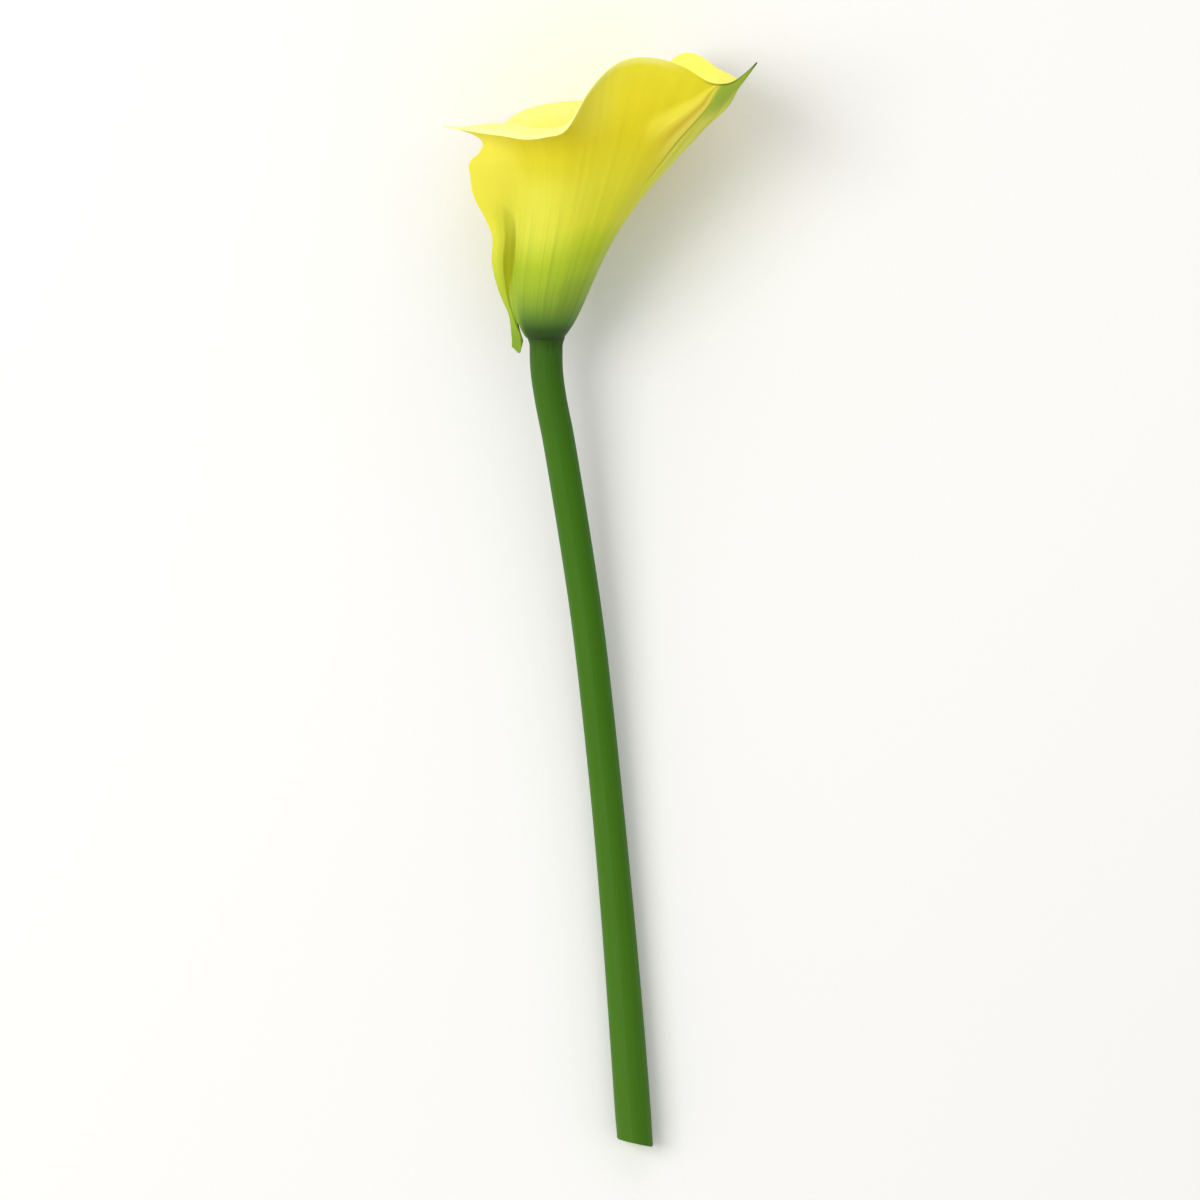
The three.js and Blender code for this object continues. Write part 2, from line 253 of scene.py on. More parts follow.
def shell_faces(rows: int, columns: int) -> list[list[int]]:
    """Faces of a sheet with a thickness: both its sides and the strip round its edge.

    Args:
        rows: Number of rows of points on each side.
        columns: Number of points in a row.

    Returns:
        Point numbers of each face, with the outer side's points before the inner side's.
    """
    count = rows * columns
    number = np.arange(count).reshape(rows, columns)
    ring = np.concatenate([number[0, :], number[1:, -1], number[-1, -2::-1], number[-2:0:-1, 0]])
    after = np.roll(ring, -1)
    edge = np.stack([ring, after, after + count, ring + count], axis=-1)
    sides = [grid_faces(rows, columns, flip=True), grid_faces(rows, columns) + count]
    return np.concatenate([*sides, edge]).tolist()


def make_object(
    name: str, points: Array, faces: list[list[int]], fields: dict[str, Array | list[float]]
) -> bpy.types.Object:
    """A smooth-shaded mesh object with named values at its points.

    Args:
        name: Name of the object and its mesh.
        points: Points in the frame, in metres.
        faces: Point numbers of each face.
        fields: Values at the points, by name.

    Returns:
        The object, linked to the scene.
    """
    mesh = bpy.data.meshes.new(name)
    mesh.from_pydata(points.tolist(), [], faces)
    for key, values in fields.items():
        attribute = mesh.attributes.new(key, "FLOAT", "POINT")
        attribute.data.foreach_set("value", np.asarray(values, np.float32).ravel())
    mesh.update()
    mesh.shade_smooth()
    piece = bpy.data.objects.new(name, mesh)
    bpy.context.scene.collection.objects.link(piece)
    return piece


def settle(piece: bpy.types.Object, material: bpy.types.Material, node: str) -> None:
    """Gives a finished piece its material and its place in the frame.

    Args:
        piece: The piece.
        material: Its material.
        node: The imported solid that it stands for.
    """
    piece.data.materials.append(material)
    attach(piece, "root")
    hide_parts(node)
    log.info("%s: %d points, %d faces", piece.name, len(piece.data.vertices), len(piece.data.polygons))


# ------------------------------------------------------------------ shader nodes


def tone(code: str, gain: float = 1.0) -> Colour:
    """Linear colour of a six-digit sRGB code.

    Args:
        code: Red, green and blue in hexadecimal.
        gain: Factor on the linear colour.

    Returns:
        Red, green, blue and full alpha.
    """
    parts = [int(code[i : i + 2], 16) / 255.0 for i in (0, 2, 4)]
    linear = [p / 12.92 if p <= 0.04045 else ((p + 0.055) / 1.055) ** 2.4 for p in parts]
    return (*[min(1.0, gain * p) for p in linear], 1.0)


def ramp_stops(row: Tones, gain: float = 1.0) -> list[tuple[float, Colour]]:
    """Ramp stops of a row of tones."""
    return [(at, tone(code, gain)) for at, code in row]


@dataclass(frozen=True)
class Mark:
    """A tint on a surface: its colour, how strongly it covers and the edges it eases in between."""

    colour: str
    strength: float
    edges: tuple[Edge, ...] = ()


@dataclass(frozen=True)
class Noise:
    """A noise: its waves in a metre, or in a unit of each value that it is read on, and its grain."""

    waves: tuple[float, ...]
    octaves: float = 2.0
    rough: float = 0.5


@dataclass(frozen=True)
class Tissue:
    """How light behaves in soft plant tissue: how much enters, how deep in metres, and its colour."""

    share: float
    depth: float
    colour: tuple[float, float, float]

    def sockets(self) -> dict[str, Any]:
        """The Principled shader's sockets for it."""
        return {
            "Subsurface Weight": self.share,
            "Subsurface Radius": self.colour,
            "Subsurface Scale": self.depth,
        }


class Blend(Enum):
    """How one colour goes over another."""

    OVER = "MIX"
    MULTIPLY = "MULTIPLY"


class Value:
    """A number that varies over a surface: one output of a shader's nodes."""

    def __init__(self, shader: "Shader", socket: bpy.types.NodeSocket) -> None:
        """Wraps a socket of a shader."""
        self.shader, self.socket = shader, socket

    def __add__(self, other: "Value | float") -> "Value":
        """Sum."""
        return self.shader.maths("ADD", self, other)

    def __radd__(self, other: float) -> "Value":
        """Sum, number first."""
        return self.shader.maths("ADD", other, self)

    def __sub__(self, other: "Value | float") -> "Value":
        """Difference."""
        return self.shader.maths("SUBTRACT", self, other)

    def __rsub__(self, other: float) -> "Value":
        """Difference, number first."""
        return self.shader.maths("SUBTRACT", other, self)

    def __mul__(self, other: "Value | float") -> "Value":
        """Product."""
        return self.shader.maths("MULTIPLY", self, other)

    def __truediv__(self, other: "Value | float") -> "Value":
        """Quotient."""
        return self.shader.maths("DIVIDE", self, other)

    def __pow__(self, other: float) -> "Value":
        """Power."""
        return self.shader.maths("POWER", self, other)

    def ease(self, low: float, high: float) -> "Value":
        """Zero at low, one at high and an easy S between; low may be the larger.

        Args:
            low: Where it is 0.
            high: Where it is 1.

        Returns:
            The eased value.
        """
        rising = low < high
        limits = {"Value": self, "From Min": min(low, high), "From Max": max(low, high)}
        made = self.shader.node("ShaderNodeMapRange", {"interpolation_type": "SMOOTHSTEP"}, limits)
        eased = Value(self.shader, made.outputs["Result"])
        return eased if rising else 1.0 - eased

    def bell(self, centre: float, spread: float) -> "Value":
        """One at a centre, falling away on both sides over the spread."""
        return (((self - centre) / spread) ** 2.0 * -1.0).exp()

    def exp(self) -> "Value":
        """Exponential."""
        return self.shader.maths("EXPONENT", self)

    def size(self) -> "Value":
        """Value without its sign."""
        return self.shader.maths("ABSOLUTE", self)


def overlap(values: tuple[Value, ...], edges: tuple[Edge, ...]) -> Value:
    """Share of a mark that shows where several values meet.

    Args:
        values: The values. Those beyond the number of edges come first and count as they are.
        edges: Edges of each of the last values.

    Returns:
        Product of the values, the last ones eased in between their edges.
    """
    plain = len(values) - len(edges)
    eased = [value.ease(*edge) for value, edge in zip(values[plain:], edges)]
    return functools.reduce(operator.mul, [*values[:plain], *eased])


class Shader:
    """The nodes of one material."""

    def __init__(self, name: str) -> None:
        """Starts an empty material.

        Args:
            name: Name of the material.
        """
        self.material = bpy.data.materials.new(name)
        self.material.use_nodes = True
        self.tree = self.material.node_tree
        self.tree.nodes.clear()

    def node(self, kind: str, settings: dict[str, Any], sockets: dict[str | int, Any]) -> bpy.types.Node:
        """Adds a node.

        Args:
            kind: Blender's name of the node's type.
            settings: The node's own settings, set first. A ramp's stops are its "stops".
            sockets: Value of, or link to, each input by its name or number.

        Returns:
            The node.
        """
        made = self.tree.nodes.new(kind)
        for key, setting in settings.items():
            if key == "stops":
                self.set_stops(made.color_ramp, setting)
            else:
                setattr(made, key, setting)
        for key, value in sockets.items():
            if isinstance(value, Value):
                value = value.socket
            if isinstance(value, bpy.types.NodeSocket):
                self.tree.links.new(value, made.inputs[key])
            else:
                made.inputs[key].default_value = value
        return made

    @staticmethod
    def set_stops(ramp: bpy.types.ColorRamp, stops: list[tuple[float, Colour]]) -> None:
        """Sets a colour ramp's stops.

        Args:
            ramp: The ramp, with its first two stops.
            stops: Position and colour of each stop.
        """
        while len(ramp.elements) < len(stops):
            ramp.elements.new(1.0)
        for element, (position, colour) in zip(ramp.elements, stops):
            element.position, element.color = position, colour

    def maths(self, operation: str, *parts: Value | float) -> Value:
        """One Math node on values and numbers."""
        made = self.node("ShaderNodeMath", {"operation": operation}, dict(enumerate(parts)))
        return Value(self, made.outputs[0])

    def field(self, name: str) -> Value:
        """A value that is stored at the mesh's points."""
        return Value(self, self.node("ShaderNodeAttribute", {"attribute_name": name}, {}).outputs["Fac"])

    def vector(self, x: Value | float, y: Value | float, z: Value | float) -> bpy.types.NodeSocket:
        """A vector from three values."""
        return self.node("ShaderNodeCombineXYZ", {}, {"X": x, "Y": y, "Z": z}).outputs["Vector"]

    def place(self) -> bpy.types.NodeSocket:
        """Place on the object, in metres."""
        return self.node("ShaderNodeTexCoord", {}, {}).outputs["Object"]

    def noise(self, look: Noise, *values: Value | float) -> Value:
        """Smooth noise about 0, mostly within -0.5 to 0.5.

        Args:
            look: The noise.
            values: Three values that it is read on; without them, it is read on the place. Those
                beyond the number of waves come last and count as they are.

        Returns:
            The noise.
        """
        if values:
            waved = [value * wave for value, wave in zip(values, look.waves)]
            at, scale = self.vector(*waved, *values[len(waved) :]), 1.0
        else:
            at, scale = self.place(), look.waves[0]
        sockets = {"Vector": at, "Scale": scale, "Detail": look.octaves, "Roughness": look.rough}
        made = self.node("ShaderNodeTexNoise", {"noise_dimensions": "3D"}, sockets)
        return Value(self, made.outputs["Fac"]) - 0.5

    def ramp(self, value: Value, stops: list[tuple[float, Colour]]) -> bpy.types.NodeSocket:
        """Colour that follows a value.

        Args:
            value: The value.
            stops: Value and colour of each stop, in rising order.

        Returns:
            The colour.
        """
        first, last = stops[0][0], stops[-1][0]
        places = [((at - first) / (last - first), colour) for at, colour in stops]
        part = (value - first) / (last - first)
        return self.node("ShaderNodeValToRGB", {"stops": places}, {"Fac": part}).outputs["Color"]

    def mix(
        self, share: Value | float, under: Any, over: Any, blend: Blend = Blend.OVER
    ) -> bpy.types.NodeSocket:
        """Lays one colour over another.

        Args:
            share: How much of the upper colour shows.
            under: The lower colour.
            over: The upper colour.
            blend: How they combine.

        Returns:
            The mixed colour.
        """
        settings = {"data_type": "RGBA", "blend_type": blend.value, "clamp_factor": True}
        return self.node("ShaderNodeMix", settings, {0: share, 6: under, 7: over}).outputs[2]

    def tint(self, under: Any, mark: Mark, *values: Value) -> bpy.types.NodeSocket:
        """Lays a mark over a colour, where the values that it is read on meet."""
        return self.mix(overlap(values, mark.edges) * mark.strength, under, tone(mark.colour))

    def relief(self, height: Value, depth: float) -> bpy.types.NodeSocket:
        """Surface direction roughened by a height.

        Args:
            height: The height, in parts of the depth.
            depth: Depth of a height of 1, in metres.

        Returns:
            The direction, for a shader's Normal.
        """
        sockets = {"Strength": 1.0, "Distance": depth, "Height": height}
        return self.node("ShaderNodeBump", {}, sockets).outputs["Normal"]

    def finish(self, sockets: dict[str, Any]) -> bpy.types.Material:
        """Closes the material with a Principled shader.

        Args:
            sockets: Value of, or link to, each of the shader's inputs.

        Returns:
            The material.
        """
        skin = self.node("ShaderNodeBsdfPrincipled", {}, sockets)
        self.node("ShaderNodeOutputMaterial", {}, {"Surface": skin.outputs["BSDF"]})
        return self.material


# ------------------------------------------------------------------ spathe


@dataclass(frozen=True)
class SpatheFinish:
    """Colours of the spathe's tissue, the marks on it, its painted light and shade, and how glossy it is.
    """

    # by height up the flower: the outside, the free margin and the inside
    outer: Tones = (
        (-4.0, "6F9636"), (0.0, "2C4818"), (2.6, "385A1E"), (5.2, "608630"), (8.7, "8CAC36"),
        (13.5, "ACC634"), (18.0, "B8CE2C"), (21.5, "C6D82C"), (26.0, "E0E236"), (36.0, "E8E436"),
        (47.0, "ECDE24"), (57.0, "F8EA2C"), (64.0, "F8EC36"),
    )
    outer_gain: float = 0.88
    hem: Tones = (
        (-4.0, "7CA42C"), (2.0, "8CB030"), (10.0, "B4CC3C"), (18.0, "D6DE40"), (28.0, "F2EC48"),
        (44.0, "F8EE50"),
    )
    hem_gain: float = 0.9
    inner: Tones = (
        (0.0, "7C9A20"), (8.0, "C8B81C"), (18.0, "F6CC14"), (32.0, "FFDF24"), (44.0, "FFF268"),
        (51.0, "FFFA8E"), (62.0, "FFF26C"),
    )
    # noises: lengthwise lines, broad bands, veins, fine ribs, hatching by the point, clouds and grain
    lines: Noise = Noise((0.22, 0.012), 3.0, 0.6)
    bands: Noise = Noise((0.035, 0.02))
    threads: Noise = Noise((0.24, 0.015), 1.5)
    fine: Noise = Noise((0.3, 0.02))
    hatch: Noise = Noise((0.11, 2.0))
    cloud: Noise = Noise((60.0,), 3.0, 0.55)
    grain: Noise = Noise((1500.0,), 3.0, 0.6)
    # how far the lines carry each row of colours up and down
    outer_stray: float = 4.0
    outer_stray_edges: tuple[Edge, ...] = ((2.0, 9.0),)
    hem_stray: float = 5.0
    inner_stray: float = 6.0
    # faint mottling over everything, its lines weaker further up
    mottle: Tones = ((-0.5, "ECE8D4"), (0.5, "FFFFFF"))
    mottle_share: float = 0.5
    mottle_low: Edge = (34.0, 16.0)
    mottle_least: float = 0.4
    mottle_bands: float = 0.8
    mottle_cloud: float = 0.6
    # across the ribs that fan out beside the midrib, near the point
    ribs: Tones = (
        (0.0, "D4C83C"), (4.0, "F0E666"), (14.0, "F0E45C"), (23.0, "D8C23C"), (31.0, "E2CC38"),
        (40.0, "FFF458"), (52.0, "FFF250"), (72.0, "F6E834"),
    )
    ribs_edges: tuple[Edge, ...] = ((0.7, 0.87), (-1.0, 3.0), (76.0, 56.0))
    ribs_share: float = 0.85
    ribs_stray: float = 9.0
    midrib: tuple[str, str] = ("B4C23A", "DCE26A")
    midrib_hatch: Edge = (-0.25, 0.25)
    midrib_edges: tuple[Edge, ...] = ((1.0, -2.0), (-5.0, -1.0), (0.5, 0.85))
    midrib_share: float = 0.7
    # where green climbs further up the side that faces right
    climb: float = 3.5
    climb_edges: tuple[Edge, ...] = ((120.0, 60.0), (4.0, 16.0))
    # painted light: a paler tint on the lit left side, and under the front of the rim
    painted_light: Mark = Mark("F2F06C", 0.3)
    lit_left_edges: tuple[Edge, ...] = ((50.0, 135.0), (16.0, 26.0), (44.0, 34.0))
    lit_front_edges: tuple[Edge, ...] = ((58.0, 84.0), (100.0, 88.0), (46.0, 58.0))
    # painted shade in the gutter and along the fold outside it, and a painted shadow line beside the slit
    gutter_shade: Mark = Mark("A0A000", 0.85)
    fold_shade: Mark = Mark("A8C034", 0.3)
    seam: Mark = Mark("3C5C18", 0.7)
    vein: Mark = Mark("5E8A2C", 0.36, ((-0.05, 0.36), (38.0, 16.0), (1.0, 5.0)))
    # painted shade in the crease beside the midrib
    crease: Mark = Mark("6E7A14", 0.5, ((0.64, 0.84), (0.985, 0.94)))
    crease_width: float = 0.36
    # paler edge, brightened with painted highlight where the rim catches the light: a narrow line
    # on the near side, and a wider one at the left corner
    cream_highlight: str = "FFFDA8"
    cream_highlight_edges: tuple[Edge, ...] = ((0.5, 0.9),)
    near_edges: tuple[Edge, ...] = ((2.4, 0.2), (38.0, 58.0))
    near_share: float = 0.55
    corner_edges: tuple[Edge, ...] = ((5.0, 0.8), (112.0, 150.0))
    corner_share: float = 0.4
    # green point, and the dark lines on its edge and down it, just beside the midline
    tip: Mark = Mark("92B43A", 0.85, ((0.9, -1.2), (-5.0, -1.5), (13.0, 4.0)))
    tip_inside: float = 0.5
    tip_stray: float = 1.2
    tip_edge: Mark = Mark("2E4620", 0.6, ((0.7, 0.1), (15.0, 6.0), (0.9, 0.98)))
    tip_line: tuple[Edge, ...] = ((1.0, 0.2), (7.0, 0.8), (0.8, 0.9))
    tip_line_side: float = 0.4
    tissue: Tissue = Tissue(0.22, 0.0016, (1.0, 0.8, 0.18))
    # roughness: even, and what clouds and grain add to it
    roughness: tuple[float, float, float] = (0.46, 0.12, 0.06)
    gloss: float = 0.12
    # relief: its depth in metres, and the shares of the fine ribs and of the grain
    relief_depth: float = 0.0001
    relief_ribs: float = 0.7
    relief_grain: float = 0.2
    relief_rise: Edge = (-4.0, 26.0)


@dataclass
class Spathe:
    """The one sheet of tissue, rolled into a funnel round the spadix."""

    lie: Lie
    finish: SpatheFinish = field(default_factory=SpatheFinish)
    # the tube
    neck_radius: float = 3.7
    shoulder: float = 5.2
    shoulder_height: float = 7.0
    lean: float = 9.2
    lean_height: float = 58.0
    lean_power: float = 1.5
    midrib: float = 21.0
    layer: float = 1.0
    lip_power: float = 7.0
    belly: float = 0.4
    belly_side: Span = (105.0, 45.0)
    belly_height: Spot = (19.0, 11.0)
    # its thickness
    thick_base: float = 1.3
    thick_rim: float = 0.8
    thin_side: Span = (135.0, 25.0)
    edge_thick: float = 0.36
    edge_run: float = 7.0
    edge_least: float = 0.06
    # the free margin: where it starts, how far it is rolled and how it stands out
    hem_high: float = 148.0
    hem_low: float = 162.0
    hem_tight: Span = (40.0, -12.0)
    roll_low: Span = (7.0, 9.0)
    roll_high: Span = (41.0, -13.0)
    hem_power: float = 1.6
    hem_late: float = 0.9
    hem_late_height: Spot = (36.0, 8.0)
    hem_fade: int = 4
    hem_nip: float = 2.6
    hem_nip_part: Span = (0.74, 0.26)
    # its foot: a free lobe that hangs down, and a slit beside it
    lobe: float = 3.6
    lobe_near: Span = (0.4, 0.24)
    lobe_far: Span = (0.7, 0.3)
    lobe_far_rise: float = 0.35
    lobe_fade: int = 3
    slit: float = 3.4
    slit_near: Span = (0.0, 0.2)
    slit_far: Span = (0.56, -0.2)
    slit_fade: int = 8
    # the point at the end of the midrib
    cusp: float = 7.4
    cusp_width: float = 1.4
    cusp_part: Span = (0.965, 0.035)
    cusp_power: float = 1.2
    cusp_back: float = math.radians(43.5)
    keel: float = 1.2
    keel_width: float = 25.0
    keel_part: Spot = (0.95, 0.042)
    # fine relief: the crease beside the midrib, and ribs
    crease_depth: float = 0.24
    crease_width: float = 1.3
    crease_low: Span = (0.56, 0.16)
    crease_high: Span = (0.985, -0.05)
    rib_height: float = 0.022
    rib_periods: tuple[float, ...] = (6.1, 7.7, 9.1, 12.7)
    rib_sway: float = 1.5
    rib_bend: float = 3.0
    rib_low: Span = (0.0, 0.6)
    rib_high: Span = (1.0, -0.05)
    seed: int = 11
    # stripes that its colours follow, by share of the way across the free margin and by height:
    # the painted shade in the gutter and along the fold outside it, the painted shadow line
    # beside the slit, and the free margin itself
    gutter_shade_near: Span = (-0.1, 0.2)
    gutter_shade_far: Span = (0.69, -0.09)
    gutter_shade_low: Span = (8.0, 5.0)
    gutter_shade_high: Span = (37.5, -18.0)
    gutter_shade_start: float = 0.04
    gutter_shade_widest: Spot = (21.0, 15.0)
    fold_shade_share: Spot = (0.75, 0.08)
    fold_shade_high: Span = (36.0, -8.0)
    slit_shadow_start: float = 0.42
    slit_shadow_slope: float = 0.18
    slit_shadow_width: float = 0.05
    slit_shadow_low: Span = (0.0, 9.0)
    slit_shadow_high: Span = (15.0, -6.0)
    margin_near: Span = (0.63, 0.08)
    margin_side: Span = (138.0, 30.0)
    # fan of ribs: how they draw together towards the point
    fan_end: float = 1.01
    fan_least: float = 0.01
    fan_power: float = 0.8
    reach_least: float = 4.0
    # mesh: distance between points, fine distance and spread where they crowd, and steps for slopes
    turn_gap: float = 1.5
    midrib_crowd: tuple[float, float] = (0.3, 5.0)
    first_crowd: tuple[float, float] = (0.15, 1.5)
    last_crowd: tuple[float, float] = (0.12, 1.5)
    gutter_crowd: tuple[float, float] = (0.35, 9.0)
    gutter_turn: float = 162.0
    part_gap: float = 0.0085
    part_crowds: tuple[tuple[float, float, float], ...] = (
        (1.0, 0.0012, 0.008), (0.0, 0.002, 0.01), (0.95, 0.005, 0.06),
    )
    turn_step: float = 0.4
    part_step: float = 0.004
    level_run: float = 0.12
    # height, and how far the free margin stands out there
    hem_out: tuple[tuple[float, float], ...] = (
        (0.0, 3.5), (2.0, 2.5), (4.0, 1.9), (6.0, 1.8), (8.5, 2.5), (12.0, 3.6), (18.0, 5.1), (25.0, 5.5),
        (29.0, 7.3), (34.0, 9.8), (39.0, 10.0), (42.0, 9.2), (44.5, 4.8), (50.0, 3.8), (60.0, 4.0),
    )
    # share of the way across the free margin, and how far it is lifted there: a gutter, then a roll
    hem_lift: tuple[tuple[float, float], ...] = (
        (0.0, 0.0), (0.3, -0.25), (0.55, -0.25), (0.68, 0.15), (0.8, 0.45), (0.9, 0.5), (1.0, 0.35),
    )
    # part of the way up, and the angle of the crease beside the midrib there
    crease: tuple[tuple[float, float], ...] = (
        (0.0, 30.5), (0.5, 30.0), (0.72, 29.0), (0.82, 28.8), (0.9, 27.8), (0.94, 28.1), (0.98, 28.2),
        (1.0, 27.5),
    )
    # angle, radius, height, flare power and curl at each station of the rim
    rim: tuple[tuple[float, ...], ...] = (
        (-212, 9.6, 27.0, 2.0, 0.0), (-200, 10.6, 31.5, 2.1, 0.1), (-190, 14.0, 36.5, 2.2, 0.2),
        (-172, 22.0, 41.9, 2.4, 0.5), (-150, 26.3, 43.6, 2.4, 0.9), (-132, 29.4, 46.6, 2.4, 1.0),
        (-115, 31.5, 50.6, 2.4, 1.0), (-100, 30.6, 52.2, 2.3, 0.9), (-88, 30.4, 52.6, 2.2, 0.7),
        (-60, 30.5, 57.9, 2.1, 0.2), (-40, 31.0, 65.2, 2.1, -0.3), (-15, 33.5, 62.6, 2.45, -0.7),
        (10, 37.0, 61.7, 2.8, -1.0), (21, 38.2, 62.1, 2.85, -1.1), (31, 34.6, 62.8, 2.4, -0.7),
        (42, 31.7, 66.8, 1.9, -0.3), (55, 28.4, 69.3, 1.7, 0.1), (72, 25.5, 68.0, 1.7, 0.4),
        (88, 25.1, 60.6, 1.9, 0.9), (98, 26.3, 52.7, 2.2, 1.5), (108, 26.9, 51.0, 2.4, 1.65),
        (139, 25.5, 50.3, 2.6, 1.75), (160, 28.7, 50.6, 2.8, 1.5), (175, 32.6, 50.7, 3.0, 0.9),
    )

    def __post_init__(self) -> None:
        """Reads the rim's stations as smooth curves."""
        columns = list(zip(*self.rim))
        self.first, self.last = float(columns[0][0]), float(columns[0][-1])
        self.rim_radius, self.rim_height, self.flare, self.curl = (
            Course(columns[0], values) for values in columns[1:]
        )
        self.hem_course, self.lift_course, self.crease_course = (
            Course(*zip(*rows)) for rows in (self.hem_out, self.hem_lift, self.crease)
        )

    def drift(self, height: Array) -> Array:
        """How far the tube's centre has drifted towards the midrib at a height."""
        part = np.clip(height / self.lean_height, 0.0, 1.0)
        return self.lean * np.sin(part * math.pi / 2.0) ** self.lean_power

    def rise(self, turn: Array, part: Array) -> Array:
        """Height up the flower of a point of the sheet.

        Args:
            turn: Angle round the flower, in degrees.
            part: 0 at the stem to 1 at the rim.

        Returns:
            The height, in millimetres.
        """
        curl = self.curl(turn) / self.lip_power
        return self.rim_height(turn) * (part - curl * part**self.lip_power) / (1.0 - curl)

    def thickness(self, turn: Array, part: Array) -> Array:
        """Thickness of the sheet, in millimetres: least at the rim and on the free margin."""
        thin = np.maximum(smooth(part), smooth(turn, *self.thin_side))
        return self.thick_base + (self.thick_rim - self.thick_base) * thin

    def hem_start(self, height: Array) -> Array:
        """Angle where the free margin begins to stand out: a tight fold low down."""
        return self.hem_high + (self.hem_low - self.hem_high) * smooth(height, *self.hem_tight)

    def rolled(self, height: Array) -> Array:
        """How fully the free margin is rolled at a height, 0 to 1."""
        return smooth(height, *self.roll_low) * smooth(height, *self.roll_high)

    def foot(self, share: Array, part: Array) -> Array:
        """Rise of the lower edge: a free lobe that hangs down, and a slit beside it.

        Args:
            share: Share of the way across the free margin.
            part: 0 at the stem to 1 at the rim.

        Returns:
            The rise, in millimetres.
        """
        lobe = smooth(share, *self.lobe_near) * (1.0 - self.lobe_far_rise * smooth(share, *self.lobe_far))
        slit = smooth(share, *self.slit_near) * smooth(share, *self.slit_far)
        left = 1.0 - part
        return self.slit * slit * left**self.slit_fade - self.lobe * lobe * left**self.lobe_fade

    def sheet(self, turn: Array, part: Array) -> Array:
        """Mid-surface of the sheet, as the flower lies.

        Args:
            turn: Angle round the flower, in degrees.
            part: 0 at the stem to 1 at the rim.

        Returns:
            Points in millimetres about the junction.
        """
        grown = self.rise(turn, part)
        start = self.hem_start(grown)
        share = np.clip((turn - start) / (self.last - start), 0.0, 1.0)
        height = grown + self.foot(share, part)
        up = np.maximum(height, 0.0)
        layer = self.layer * (turn - self.midrib) / 180.0
        neck = self.neck_radius + self.shoulder
        radius = (
            self.neck_radius
            + layer
            + self.shoulder * (1.0 - np.exp(-up / self.shoulder_height))
            + (self.rim_radius(turn) - neck - layer) * np.maximum(part, 0.0) ** self.flare(turn)
        )
        free = share ** (self.hem_power + self.hem_late * bell(grown, *self.hem_late_height))
        stand = self.hem_course(np.minimum(up, self.hem_out[-1][0]))
        radius += free * stand * (1.0 - part**self.hem_fade)
        nip_start, nip_span = self.hem_nip_part
        nipped = np.clip((part - nip_start) / nip_span, 0.0, 1.0)
        radius -= free * self.hem_nip * np.sin(math.pi * nipped) ** 2
        radius += self.keel * bell(turn, self.midrib, self.keel_width) * bell(part, *self.keel_part)
        radius += self.belly * (smooth(turn, *self.belly_side) * bell(height, *self.belly_height))

        lift = self.lift_course(share) * self.rolled(height)
        angle, tip = np.radians(turn) - lift / radius, math.radians(self.midrib)
        beside = np.exp(-np.abs(turn - self.midrib) / self.cusp_width)
        cusp = self.cusp * beside * smooth(part, *self.cusp_part) ** self.cusp_power
        out = self.drift(height) + cusp * math.sin(self.cusp_back)
        points = np.stack(
            [radius * np.cos(angle) + out * math.cos(tip),
             height + cusp * math.cos(self.cusp_back),
             radius * np.sin(angle) + out * math.sin(tip)], axis=-1)
        return self.lie.pressed(self.lie.turned(points), self.thickness(turn, part) / 2.0)

    def relief(self, turn: Array, part: Array) -> Array:
        """Fine relief: the crease beside the midrib and faint lengthwise ribs.

        Args:
            turn: Angle round the flower, in degrees.
            part: 0 at the stem to 1 at the rim.

        Returns:
            How far the sheet stands out, in millimetres.
        """
        span = smooth(part, *self.crease_low) * smooth(part, *self.crease_high)
        crease = -self.crease_depth * bell(turn, self.crease_course(part), self.crease_width) * span
        draws = np.random.default_rng(self.seed)
        ribs = np.zeros_like(turn)
        for period in self.rib_periods:
            phase, bend = draws.uniform(0.0, 2.0 * math.pi, 2)
            sway = self.rib_sway * np.sin(self.rib_bend * part + bend)
            ribs = ribs + np.sin(2.0 * math.pi * turn / period + phase + sway)
        ribs = self.rib_height * ribs * smooth(part, *self.rib_low) * smooth(part, *self.rib_high)
        return crease + ribs

    def normal(self, turn: Array, part: Array) -> Array:
        """Direction out of the outer face, level with the stem's end at the foot.

        Args:
            turn: Angle round the flower, in degrees.
            part: 0 at the stem to 1 at the rim.

        Returns:
            Directions of length 1.
        """
        low = np.maximum(turn - self.turn_step, self.first)
        high = np.minimum(turn + self.turn_step, self.last)
        down = np.maximum(part - self.part_step, 0.0)
        up = np.minimum(part + self.part_step, 1.0)
        across = self.sheet(high, part) - self.sheet(low, part)
        along = self.sheet(turn, up) - self.sheet(turn, down)
        out = unit(np.cross(along, across))
        axis = self.lie.axis()
        level = unit(out - (out @ axis)[..., None] * axis)
        share = (1.0 - smooth(part, 0.0, self.level_run))[..., None]
        return unit(out + (level - out) * share)

